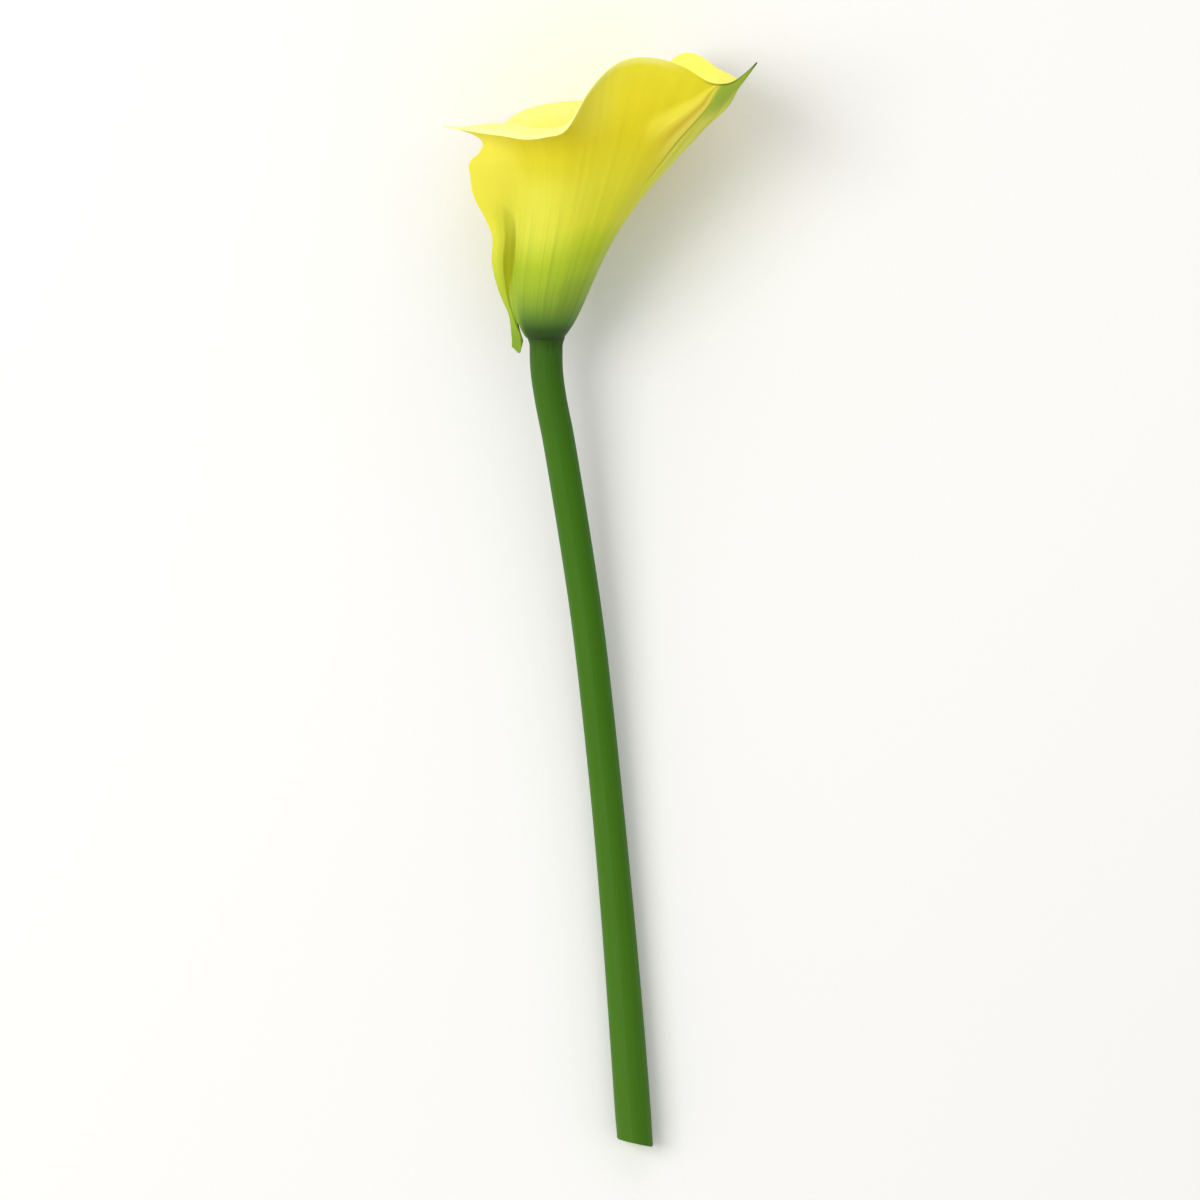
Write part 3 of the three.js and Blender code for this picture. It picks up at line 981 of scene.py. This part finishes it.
    def stripes(self, turn: Array, part: Array, middle: Array) -> dict[str, Array]:
        """Values over the sheet that its colours follow.

        Args:
            turn: Angle round the flower, in degrees.
            part: 0 at the stem to 1 at the rim.
            middle: Mid-surface, as the flower lies.

        Returns:
            The values, by name.
        """
        height = self.rise(turn, part)
        off_axis = np.linalg.norm(middle[..., [0, 2]] - [0.0, self.lie.rest_height], axis=-1)
        reach = np.maximum(off_axis, self.reach_least)
        start = self.hem_start(height)
        share = (turn - start) / (self.last - start)
        rolled = self.rolled(height)
        crease = self.crease_course(part)
        widest, spread = self.gutter_shade_widest
        gutter_shade = self.gutter_shade_start + ((height - widest) / spread) ** 2
        seam = self.slit_shadow_start + self.slit_shadow_slope * smooth(height, *self.slit_shadow_low)
        return {
            "rise": height,
            "turn": turn,
            "part": part,
            "midline": (turn - self.midrib) * math.pi / 180.0 * reach,
            "to_crease": (turn - crease) * math.pi / 180.0 * reach,
            "fan": (turn - crease) / np.maximum(self.fan_end - part, self.fan_least) ** self.fan_power,
            "gutter_shade": smooth(share - gutter_shade, *self.gutter_shade_near) * smooth(share, *self.gutter_shade_far)
            * smooth(height, *self.gutter_shade_low) * smooth(height, *self.gutter_shade_high),
            "fold_shade": bell(share, *self.fold_shade_share) * rolled * smooth(height, *self.fold_shade_high),
            "seam": bell(share, seam, self.slit_shadow_width) * smooth(height, *self.slit_shadow_high),
            "margin": smooth(share, *self.margin_near) * rolled
            + smooth(turn, *self.margin_side) * (1.0 - rolled),
        }

    def build(self) -> bpy.types.Object:
        """Builds and dresses the sheet.

        Returns:
            The piece.
        """
        crowds = (
            (self.midrib, *self.midrib_crowd), (self.first, *self.first_crowd),
            (self.last, *self.last_crowd), (self.gutter_turn, *self.gutter_crowd),
        )
        turns = spaced(self.first, self.last, self.turn_gap, crowds)
        turn, part = np.meshgrid(turns, spaced(0.0, 1.0, self.part_gap, self.part_crowds))
        middle = self.sheet(turn, part)
        outward = self.normal(turn, part)

        along, across = lengths(middle, 0), lengths(middle, 1)
        to_rim, to_hem = along[-1:] - along, across[:, -1:] - across
        to_edge = np.minimum(to_rim, to_hem)
        thick = self.thickness(turn, part)
        thin = 1.0 - smooth(to_edge, 0.0, self.edge_run)
        half = (thick + (self.edge_thick - thick) * thin) / 2.0
        rounding = quarter_round(np.minimum(to_edge, np.minimum(across, along)) / half)
        half = half * np.maximum(rounding, self.edge_least)
        middle = middle + outward * self.relief(turn, part)[..., None]
        outer = middle + outward * half[..., None]
        inner = middle - outward * half[..., None]

        fields = {"to_rim": to_rim, **self.stripes(turn, part, middle)}
        fields = {key: np.tile(values.ravel(), 2) for key, values in fields.items()}
        fields["inside"] = np.repeat([0.0, 1.0], turn.size)
        points = np.concatenate([outer.reshape(-1, 3), inner.reshape(-1, 3)])
        piece = make_object("spathe_sheet", self.lie.framed(points), shell_faces(*turn.shape), fields)
        settle(piece, self.dress(), "spathe")
        return piece

    def dress(self) -> bpy.types.Material:
        """The sheet's material.

        Returns:
            Yellow tissue, green at the foot and at the tip, with fine lengthwise veins.
        """
        look, sheet = self.finish, Shader("spathe_tissue")
        rise, turn, part, inside = map(sheet.field, ("rise", "turn", "part", "inside"))
        to_rim, midline, to_crease, fan = map(sheet.field, ("to_rim", "midline", "to_crease", "fan"))
        # what is added to the third value sets the patterns apart
        lines, fine = (sheet.noise(noise, turn, rise, inside) for noise in (look.lines, look.fine))
        bands = sheet.noise(look.bands, turn, rise, inside + 5.0)
        threads = sheet.noise(look.threads, turn, rise, inside + 9.0)
        hatch = sheet.noise(look.hatch, fan, part, 3.0)
        cloud, grain = sheet.noise(look.cloud), sheet.noise(look.grain)

        # the outside: green climbing into yellow, painted light, the free margin, the marks and painted
        # shade on it, and the ribs
        climb = overlap((turn, rise), look.climb_edges) * look.climb
        stray = overlap((lines * look.outer_stray, rise), look.outer_stray_edges)
        level = rise + stray - climb
        outer = sheet.ramp(level, ramp_stops(look.outer, look.outer_gain))
        # painted light: paler on the lit left side and under the front of the rim
        left = overlap((turn, rise, rise), look.lit_left_edges)
        outer = sheet.tint(outer, look.painted_light, left + overlap((turn, turn, rise), look.lit_front_edges))
        hem = sheet.ramp(rise + lines * look.hem_stray, ramp_stops(look.hem, look.hem_gain))
        outer = sheet.mix(sheet.field("margin"), outer, hem)
        # painted shade in the gutter and along the fold, and a painted shadow line beside the slit
        for key, mark in (("gutter_shade", look.gutter_shade), ("fold_shade", look.fold_shade), ("seam", look.seam)):
            outer = sheet.tint(outer, mark, sheet.field(key))
        outer = sheet.tint(outer, look.vein, threads, rise, rise)
        ribs = sheet.ramp(fan + hatch * look.ribs_stray, ramp_stops(look.ribs))
        outer = sheet.mix(overlap((part, fan, fan), look.ribs_edges) * look.ribs_share, outer, ribs)
        beside = sheet.mix(hatch.ease(*look.midrib_hatch), *map(tone, look.midrib))
        share = overlap((fan, midline, part), look.midrib_edges) * look.midrib_share
        outer = sheet.mix(share, outer, beside)
        # painted shade in the crease beside the midrib
        outer = sheet.tint(outer, look.crease, to_crease.bell(0.0, look.crease_width), part, part)

        # both sides: the inside, the pale edge with its painted highlight, and the green point
        stray = look.inner_stray
        inner = sheet.ramp(rise + lines * stray + bands * stray, ramp_stops(look.inner))
        colour = sheet.mix(inside, outer, inner)
        near = overlap((to_rim, turn), look.near_edges) * look.near_share
        corner = overlap((to_rim, turn), look.corner_edges) * look.corner_share
        colour = sheet.mix(overlap((near + corner, part), look.cream_highlight_edges), colour, tone(look.cream_highlight))
        green = overlap((to_crease + hatch * look.tip_stray, midline, to_rim), look.tip.edges)
        strength = look.tip.strength - inside * look.tip_inside
        colour = sheet.mix(green * strength, colour, tone(look.tip.colour))
        rim = overlap((to_rim, midline.size(), part), look.tip_edge.edges) * look.tip_edge.strength
        middle = (midline + look.tip_line_side).size()
        line = overlap((middle, to_rim, part), look.tip_line) * look.tip_edge.strength
        colour = sheet.mix(rim + line, colour, tone(look.tip_edge.colour))
        strong = rise.ease(*look.mottle_low) * (1.0 - look.mottle_least) + look.mottle_least
        mottle = lines * strong + bands * look.mottle_bands + cloud * look.mottle_cloud
        mottle = sheet.ramp(mottle, ramp_stops(look.mottle))
        colour = sheet.mix(look.mottle_share, colour, mottle, Blend.MULTIPLY)
        even, cloudy, grainy = look.roughness
        height = fine * rise.ease(*look.relief_rise) * look.relief_ribs + grain * look.relief_grain
        return sheet.finish({
            "Base Color": colour,
            "Roughness": even + cloud * cloudy + grain * grainy,
            "Normal": sheet.relief(height, look.relief_depth),
            "Specular IOR Level": look.gloss,
            **look.tissue.sockets(),
        })


# ------------------------------------------------------------------ stem


@dataclass(frozen=True)
class StemFinish:
    """Colours of the stem's skin, with its painted light, and of its cut end, and how glossy it is."""

    # noises: lengthwise lines, broad bands, clouds and grain
    lines: Noise = Noise((5.0, 5.0, 0.02), 3.0, 0.55)
    bands: Noise = Noise((1.4, 1.4, 0.03))
    cloud: Noise = Noise((90.0,), 3.0, 0.6)
    grain: Noise = Noise((1800.0,), 3.0, 0.6)
    # by distance down from the spathe
    skin: Tones = (
        (0.0, "26400C"), (3.0, "30580A"), (12.0, "325E06"), (30.0, "346404"), (80.0, "366604"),
        (190.0, "3C6A0C"),
    )
    skin_stray: float = 8.0
    # painted light: a lighter green towards the side that faces the key light
    painted_lit_side: Mark = Mark("78A636", 0.14, ((-1.4, 1.6),))
    dark_line: Mark = Mark("1E3C0E", 0.2, ((-0.2, 1.2),))
    dark_line_gain: float = 2.0
    # the cut face: flesh dotted with bundles of vessels, and the skin round it
    flesh: str = "C9D89A"
    bundle: Mark = Mark("8FA85C", 0.8, ((0.45, 0.15), (0.98, 0.8)))
    bundle_scale: float = 1500.0
    rind: Edge = (0.86, 0.97)
    tissue: Tissue = Tissue(0.12, 0.0012, (0.5, 1.0, 0.2))
    # roughness: even, and what clouds and grain add to it
    roughness: tuple[float, float, float] = (0.5, 0.15, 0.08)
    gloss: float = 0.12
    # relief: its depth in metres, and the shares of the lines and of the grain
    relief_depth: float = 0.0001
    relief_lines: float = 0.6
    relief_grain: float = 0.2


@dataclass
class Stem:
    """The smooth fleshy stalk, cut a little obliquely at its lower end."""

    lie: Lie
    finish: StemFinish = field(default_factory=StemFinish)
    radius: float = 3.75
    swell_from: float = 100.0
    # its top, which runs a little way into the spathe
    top: float = -0.4
    top_radius: float = 3.9
    neck: float = 14.0
    collar_radius: float = 4.5
    collar: float = 3.2
    turn_in: float = 12.0
    # its cut end
    cut_radius: float = 4.25
    cut_slant: float = 2.4
    slant_run: float = 8.0
    cut_round: float = 0.22
    round_run: float = 0.45
    dish: float = 0.25
    face_rings: tuple[float, ...] = (0.05, 0.2, 0.4, 0.6, 0.8, 0.94)
    lid_ring: float = 0.4
    # faint lengthwise ribs
    rib_waves: tuple[int, ...] = (3, 7, 13, 19, 27)
    rib_height: float = 0.018
    rib_twist: float = 0.01
    rib_run: float = 6.0
    # mesh: points round it, distance between rings, and fine distance and spread where they crowd
    sides: int = 96
    gap: float = 1.6
    cut_crowd: tuple[float, float] = (0.12, 1.5)
    top_crowd: tuple[float, float] = (0.25, 3.0)
    # how it sinks to the surface, and where its middle is sideways at distances down from the spathe
    settle_power: float = 2.6
    drop: tuple[float, ...] = (0, 8, 15, 22, 33, 44, 66, 90, 120, 155, 190)
    side: tuple[float, ...] = (0, 0.2, 1.2, 2.6, 4.5, 6.3, 9.6, 12.4, 15.4, 18.4, 21.0)
    seed: int = 5

    def __post_init__(self) -> None:
        """Reads the stem's sideways curve."""
        self.length = float(self.drop[-1])
        self.course = Course(list(self.drop), list(self.side))

    def centre(self, down: Array) -> Array:
        """Centre line at a distance down from the spathe, as the flower lies."""
        part = np.maximum(0.0, 1.0 - down / self.length)
        height = self.cut_radius + (self.lie.rest_height - self.cut_radius) * part**self.settle_power
        return np.stack([self.course(down), -down, height], axis=-1)

    def girth(self, down: Array) -> Array:
        """Radius without the ribs at a distance down from the spathe.

        Args:
            down: The distance, in millimetres.

        Returns:
            The radius, in millimetres.
        """
        swell = smooth(down, self.swell_from, self.length - self.swell_from)
        collar = smooth(1.0 - (down - self.top) / self.collar) ** 2
        radius = (
            self.radius
            + (self.cut_radius - self.radius) * swell
            + (self.top_radius - self.radius) * smooth(1.0 - down / self.neck)
            + (self.collar_radius - self.top_radius) * collar
        )
        to_cut = np.clip((self.length - down) / self.round_run, 0.0, 1.0)
        return radius - self.cut_round * (1.0 - to_cut) ** 2

    def rings(self, down: Array, turn: Array) -> Array:
        """Rings of points along the stalk, as the flower lies.

        Args:
            down: Distance of each ring down from the spathe.
            turn: Angle of each point round a ring.

        Returns:
            The points, ring by ring.
        """
        axis = self.lie.axis()
        middle = self.centre(down)
        ahead, behind = np.maximum(down - 1.0, 0.0), down + 1.0
        along = unit(self.centre(ahead) - self.centre(behind))
        along = unit(along + (axis - along) * smooth(1.0 - down / self.turn_in)[:, None])
        across = unit(np.array([1.0, 0.0, 0.0]) - along[:, :1] * along)
        outward = np.cross(along, across)
        straight = axis[None, 1:] * -down[:, None] + [0.0, self.lie.rest_height]
        middle[:, 1:] = np.where(down[:, None] < 0.0, straight, middle[:, 1:])

        draws = np.random.default_rng(self.seed)
        ribs = sum(
            np.sin(wave * turn[None, :] + draws.uniform(0, 2 * math.pi) + self.rib_twist * down[:, None])
            for wave in self.rib_waves
        )
        raised = self.rib_height * ribs * smooth(down, 0.0, self.rib_run)[:, None]
        radius = self.girth(down)[:, None] + raised
        points = (
            middle[:, None, :]
            + across[:, None, :] * (radius * np.cos(turn))[..., None]
            + outward[:, None, :] * (radius * np.sin(turn))[..., None]
        )
        slant = self.cut_slant * np.cos(turn) / 2.0
        points[..., 1] -= slant * smooth(1.0 - (self.length - down) / self.slant_run)[:, None]
        return points

    def build(self) -> bpy.types.Object:
        """Builds and dresses the stalk, from its cut face to the small hidden lid at the top.

        Returns:
            The piece.
        """
        crowds = ((self.length, *self.cut_crowd), (0.0, *self.top_crowd))
        down = spaced(self.top, self.length, self.gap, crowds)[::-1]
        turn = circle(self.sides)
        points = self.rings(down, turn)
        cut, lid = points[0], points[-1]
        cut_middle, lid_middle = cut.mean(axis=0), lid.mean(axis=0)
        face = [
            cut_middle + (cut - cut_middle) * ring + np.array([0.0, self.dish * (1.0 - ring**4), 0.0])
            for ring in self.face_rings
        ]
        rows = np.concatenate([face, points, (lid_middle + (lid - lid_middle) * self.lid_ring)[None]])
        count, skin = len(face), np.ones(len(down) + 1)
        by_ring = {
            "down": np.concatenate([np.full(count, self.length), down, down[-1:]]),
            "cut": np.concatenate([np.ones(count), 0.0 * skin]),
            "spoke": np.concatenate([self.face_rings, skin]),
        }
        fields = {key: np.repeat(values, self.sides) for key, values in by_ring.items()}
        fields["around"] = np.tile(turn, len(rows))
        flat = self.lie.framed(rows.reshape(-1, 3))
        piece = make_object("stem_stalk", flat, tube_faces(len(rows), self.sides), fields)
        settle(piece, self.dress(), "stem")
        return piece

    def dress(self) -> bpy.types.Material:
        """The stem's material.

        Returns:
            Waxy green skin with faint lengthwise lines, and pale flesh at the cut.
        """
        look, skin = self.finish, Shader("stem_skin")
        down, around, cut, spoke = map(skin.field, ("down", "around", "cut", "spoke"))
        across, level = skin.maths("COSINE", around), skin.maths("SINE", around)
        lines, bands = (skin.noise(noise, across, level, down) for noise in (look.lines, look.bands))
        cloud, grain = skin.noise(look.cloud), skin.noise(look.grain)
        colour = skin.ramp(down + lines * look.skin_stray, ramp_stops(look.skin))
        # painted light: lighter towards the side that faces the key light
        colour = skin.tint(colour, look.painted_lit_side, bands - across)
        colour = skin.tint(colour, look.dark_line, lines * look.dark_line_gain)
        spots = {"Vector": skin.place(), "Scale": look.bundle_scale}
        cells = skin.node("ShaderNodeTexVoronoi", {"feature": "F1"}, spots)
        flesh = skin.tint(tone(look.flesh), look.bundle, Value(skin, cells.outputs["Distance"]), spoke)
        # the skin round the cut face takes that lighter green as its own colour
        flesh = skin.mix(spoke.ease(*look.rind), flesh, tone(look.painted_lit_side.colour))
        even, cloudy, grainy = look.roughness
        height = lines * look.relief_lines + grain * look.relief_grain
        return skin.finish({
            "Base Color": skin.mix(cut, colour, flesh),
            "Roughness": even + cloud * cloudy + grain * grainy,
            "Normal": skin.relief(height, look.relief_depth),
            "Specular IOR Level": look.gloss,
            **look.tissue.sockets(),
        })


# ------------------------------------------------------------------ spadix


@dataclass(frozen=True)
class FloretForm:
    """Form of one kind of floret: its size, and ring sizes and heights in parts of it."""

    name: str
    size: float
    notch: float
    profile: tuple[tuple[float, float], ...]


class Floret(Enum):
    """The kinds of floret: a flat block with a notch across it, and a round one with a button."""

    ANTHER = FloretForm(
        "spadix_anthers", 0.52, 0.16, ((1.0, -0.3), (1.02, 0.1), (0.9, 0.42), (0.6, 0.56), (0.25, 0.5)))
    OVARY = FloretForm(
        "spadix_ovaries", 0.86, 0.0,
        ((1.0, -0.3), (1.0, 0.15), (0.78, 0.5), (0.42, 0.66), (0.36, 0.84), (0.14, 0.86)))


@dataclass(frozen=True)
class SpadixFinish:
    """Colours of the florets and of the core between them, in the gaps and on the crowns."""

    anther: tuple[str, str] = ("F2B81A", "FFDC4A")
    ovary: tuple[str, str] = ("C8C85A", "EEE68A")
    core: tuple[str, str] = ("B07C10", "8A8A30")
    # how a floret's own height, clouds and grain take its colour from the gap's to the crown's
    crown: Edge = (0.0, 0.9)
    crown_shares: tuple[float, float, float] = (1.3, 0.5, 0.3)
    cloud: Noise = Noise((260.0,))
    grain: Noise = Noise((3200.0,), 3.0, 0.7)
    young: Mark = Mark("9DB048", 0.35, ((9.0, 2.0),))
    tissue: Tissue = Tissue(0.15, 0.0006, (1.0, 0.6, 0.15))
    # roughness: even, and what grain adds to it
    roughness: tuple[float, float] = (0.72, 0.2)


@dataclass
class Spadix:
    """The column inside the spathe: ovaries in a band low down and anthers above."""

    lie: Lie
    spathe: Spathe
    finish: SpadixFinish = field(default_factory=SpadixFinish)
    height: float = 42.0
    foot_radius: float = 1.7
    foot: float = 6.0
    female_radius: float = 2.9
    male_radius: float = 2.55
    waist: float = 2.0
    tip_length: float = 5.0
    tip_least: float = 0.05
    lean_share: float = 0.8
    # core under the florets
    core_sink: float = 0.32
    core_least: float = 0.05
    core_short: float = 0.3
    core_gap: float = 0.8
    core_crowd: tuple[float, float] = (0.15, 1.5)
    core_sides: int = 40
    core_grain: float = 0.0002
    # florets: the bands that they fill, and how closely
    female_foot: float = 3.4
    female_top: float = 13.0
    female_gap: float = 0.4
    male_gap: float = 1.0
    tip_gap: float = 0.1
    spacing: float = 3.1
    levels: int = 400
    floret_sink: float = 0.3
    floret_sides: int = 8
    floret_grain: float = 0.00008
    floret_widths: tuple[float, float] = (0.86, 1.04)
    floret_heights: tuple[float, float] = (0.85, 1.15)
    slope_step: float = 0.05
    seed: int = 23

    def radius(self, height: Array) -> Array:
        """Radius of the column at a height."""
        share = smooth(height, self.female_top, self.waist)
        belly = self.female_radius + (self.male_radius - self.female_radius) * share
        tip = np.maximum(quarter_round((self.height - height) / self.tip_length), self.tip_least)
        return (self.foot_radius + (belly - self.foot_radius) * smooth(height, 0.0, self.foot)) * tip

    def surface(self, turn: Array, height: Array, sink: float) -> Array:
        """A point on the column.

        Args:
            turn: Angle round it, in radians.
            height: Height up the flower.
            sink: How far under the florets' tops it is.

        Returns:
            Points in flower millimetres.
        """
        tip = math.radians(self.spathe.midrib)
        lean = self.lean_share * self.spathe.drift(height)
        radius = np.maximum(self.radius(height) - sink, self.core_least)
        return np.stack(
            [lean * math.cos(tip) + radius * np.cos(turn), height,
             lean * math.sin(tip) + radius * np.sin(turn)], axis=-1)

    def spots(self, kind: Floret) -> tuple[Array, Array]:
        """Where the florets of one kind sit.

        Args:
            kind: The kind of floret.

        Returns:
            Angle and height of each.
        """
        low, high = {
            Floret.ANTHER: (self.female_top + self.male_gap, self.height - self.tip_gap),
            Floret.OVARY: (self.female_foot, self.female_top - self.female_gap),
        }[kind]
        levels = np.linspace(low, high, self.levels)
        slant = np.hypot(np.diff(levels), np.diff(self.radius(levels)))
        area = np.concatenate([[0.0], np.cumsum(2 * math.pi * self.radius(levels[1:]) * slant)])
        size = kind.value.size
        count = int(area[-1] / (size * size * self.spacing))
        heights = np.interp((np.arange(count) + 0.5) / count * area[-1], area, levels)
        return np.arange(count) * GOLDEN, heights

    def core(self) -> bpy.types.Object:
        """Builds the column under the florets.

        Returns:
            The piece.
        """
        crowds = ((self.height, *self.core_crowd),)
        heights = spaced(0.0, self.height - self.core_short, self.core_gap, crowds)
        level, angle = np.meshgrid(heights, circle(self.core_sides), indexing="ij")
        points = self.surface(angle, level, self.core_sink).reshape(-1, 3)
        piece = make_object(
            "spadix_core", self.lie.framed(self.lie.turned(points)),
            tube_faces(len(heights), self.core_sides, flip=True),
            {"rise": level.ravel(), "crown": np.zeros(level.size)})
        material = self.dress("spadix_flesh", self.finish.core, self.core_grain)
        settle(piece, material, "spadix")
        return piece

    def florets(self, kind: Floret) -> bpy.types.Object:
        """Builds all florets of one kind as one piece.

        Args:
            kind: The kind of floret.

        Returns:
            The piece.
        """
        form, sink, step = kind.value, self.floret_sink, self.slope_step
        ring = circle(self.floret_sides)
        draws = np.random.default_rng(self.seed)
        points, faces, crowns, rises = [], [], [], []
        for turn, height in zip(*self.spots(kind)):
            seat = self.surface(turn, height, sink)
            around = unit(self.surface(turn + step, height, sink) - seat)
            along = unit(self.surface(turn, min(height + step, self.height), sink) - seat)
            out = unit(np.cross(along, around) * -1.0)
            out = -out if out @ (seat - self.surface(turn + math.pi, height, sink)) < 0 else out
            wide = form.size * draws.uniform(*self.floret_widths)
            tall = form.size * draws.uniform(*self.floret_heights)
            spin = draws.uniform(0.0, 2.0 * math.pi)
            faces += tube_faces(len(form.profile), self.floret_sides, start=len(points))
            for share, up in form.profile:
                for angle in ring:
                    notch = 1.0 - form.notch * math.cos(2.0 * angle)
                    points.append(
                        seat + (around * math.cos(angle + spin) + along * math.sin(angle + spin))
                        * wide * share * notch + out * tall * up)
                    crowns.append(max(0.0, up))
                    rises.append(height)
        tones = {Floret.ANTHER: self.finish.anther, Floret.OVARY: self.finish.ovary}[kind]
        placed = self.lie.framed(self.lie.turned(np.array(points)))
        piece = make_object(form.name, placed, faces, {"rise": rises, "crown": crowns})
        settle(piece, self.dress(form.name + "_skin", tones, self.floret_grain), "spadix")
        return piece

    def dress(self, name: str, tones: tuple[str, str], grain_depth: float) -> bpy.types.Material:
        """Material of one part of the spadix.

        Args:
            name: Name of the material.
            tones: Colour in the gaps and on the crowns.
            grain_depth: Depth of the pollen grain, in metres.

        Returns:
            The material.
        """
        look, skin = self.finish, Shader(name)
        crown, rise = skin.field("crown"), skin.field("rise")
        cloud, grain = skin.noise(look.cloud), skin.noise(look.grain)
        high, cloudy, grainy = look.crown_shares
        share = crown * high + cloud * cloudy + grain * grainy
        colour = skin.mix(share.ease(*look.crown), *map(tone, tones))
        even, rough = look.roughness
        return skin.finish({
            "Base Color": skin.tint(colour, look.young, rise),
            "Roughness": even + grain * rough,
            "Normal": skin.relief(grain, grain_depth),
            **look.tissue.sockets(),
        })

    def build(self) -> list[bpy.types.Object]:
        """Builds the core and both kinds of floret."""
        return [self.core(), self.florets(Floret.ANTHER), self.florets(Floret.OVARY)]


# ------------------------------------------------------------------ studio


@dataclass(frozen=True)
class Lamp:
    """A soft square lamp: where it hangs, its power in watts and its width."""

    name: str
    place: tuple[float, float, float]
    power: float
    width: float


@dataclass(frozen=True)
class FloorFinish:
    """Colours and grain of pale matt board."""

    tones: tuple[str, str] = ("F4F3F0", "ECEBE8")
    cloud: Noise = Noise((3.0,), 3.0)
    cloud_edge: Edge = (-0.5, 0.5)
    cloud_share: float = 0.3
    grain: Noise = Noise((900.0,), 3.0)
    # roughness: even, and what grain adds to it
    roughness: tuple[float, float] = (0.75, 0.1)
    gloss: float = 0.2
    relief_depth: float = 0.00005


@dataclass
class Studio:
    """Pale floor, soft light and the camera above the flower."""

    finish: FloorFinish = field(default_factory=FloorFinish)
    floor_radius: float = 6.0
    floor_sides: int = 128
    lens: float = 300.0
    sensor: float = 36.0
    frame_width: float = 0.284
    clip: tuple[float, float] = (0.05, 40.0)
    lamps: tuple[Lamp, ...] = (
        Lamp("key", (-1.0, 0.25, 1.4), 14.5, 1.0),
        Lamp("fill", (0.1, 1.3, 0.9), 3.0, 1.2),
    )
    aim: tuple[float, float, float] = (0.0, 0.05, 0.02)
    sky: float = 0.7

    def floor(self) -> bpy.types.Object:
        """Lays the floor, a wide disc of pale matt board.

        Returns:
            The floor.
        """
        turn = circle(self.floor_sides)
        points = np.stack([np.cos(turn), np.sin(turn), np.zeros_like(turn)], axis=-1) * self.floor_radius
        board = make_object("floor_board", points, [list(range(self.floor_sides))], {})
        look, card = self.finish, Shader("floor_card")
        cloud, grain = card.noise(look.cloud), card.noise(look.grain)
        even, grainy = look.roughness
        share = cloud.ease(*look.cloud_edge) * look.cloud_share
        board.data.materials.append(card.finish({
            "Base Color": card.mix(share, *map(tone, look.tones)),
            "Roughness": even + grain * grainy,
            "Specular IOR Level": look.gloss,
            "Normal": card.relief(grain, look.relief_depth),
        }))
        return board

    def hang(self, lamp: Lamp) -> None:
        """Hangs a lamp that looks at the spathe.

        Args:
            lamp: The lamp.
        """
        light = bpy.data.lights.new(lamp.name, "AREA")
        light.energy, light.size = lamp.power, lamp.width
        hung = bpy.data.objects.new(lamp.name, light)
        hung.location = lamp.place
        x, y, z = np.array(self.aim) - np.array(lamp.place)
        hung.rotation_euler = (math.atan2(math.hypot(x, y), -z), 0.0, math.atan2(-x, y))
        bpy.context.scene.collection.objects.link(hung)

    def build(self) -> None:
        """Sets up the floor, the lights and the camera."""
        scene = bpy.context.scene
        scene.view_settings.view_transform = "Standard"
        self.floor()
        for lamp in self.lamps:
            self.hang(lamp)
        world = bpy.data.worlds.new("studio")
        world.use_nodes = True
        sky = world.node_tree.nodes["Background"]
        sky.inputs["Color"].default_value = (1.0, 1.0, 1.0, 1.0)
        sky.inputs["Strength"].default_value = self.sky
        scene.world = world

        eye = bpy.data.cameras.new("camera")
        eye.lens, eye.sensor_width = self.lens, self.sensor
        distance = self.frame_width / self.sensor * self.lens
        eye.clip_start, eye.clip_end = self.clip
        camera = bpy.data.objects.new("camera", eye)
        camera.location = (0.0, 0.0, distance)
        scene.collection.objects.link(camera)
        scene.camera = camera
        log.info("camera %.2f m above the surface", distance)


# ------------------------------------------------------------------ the flower


def main() -> None:
    """Builds every piece of the flower, then the studio round it."""
    logging.basicConfig(level=logging.INFO, format="%(name)s: %(message)s")
    lie = Lie()
    spathe = Spathe(lie)
    spathe.build()
    Stem(lie).build()
    Spadix(lie, spathe).build()
    Studio().build()


if __name__ == "__main__":
    main()
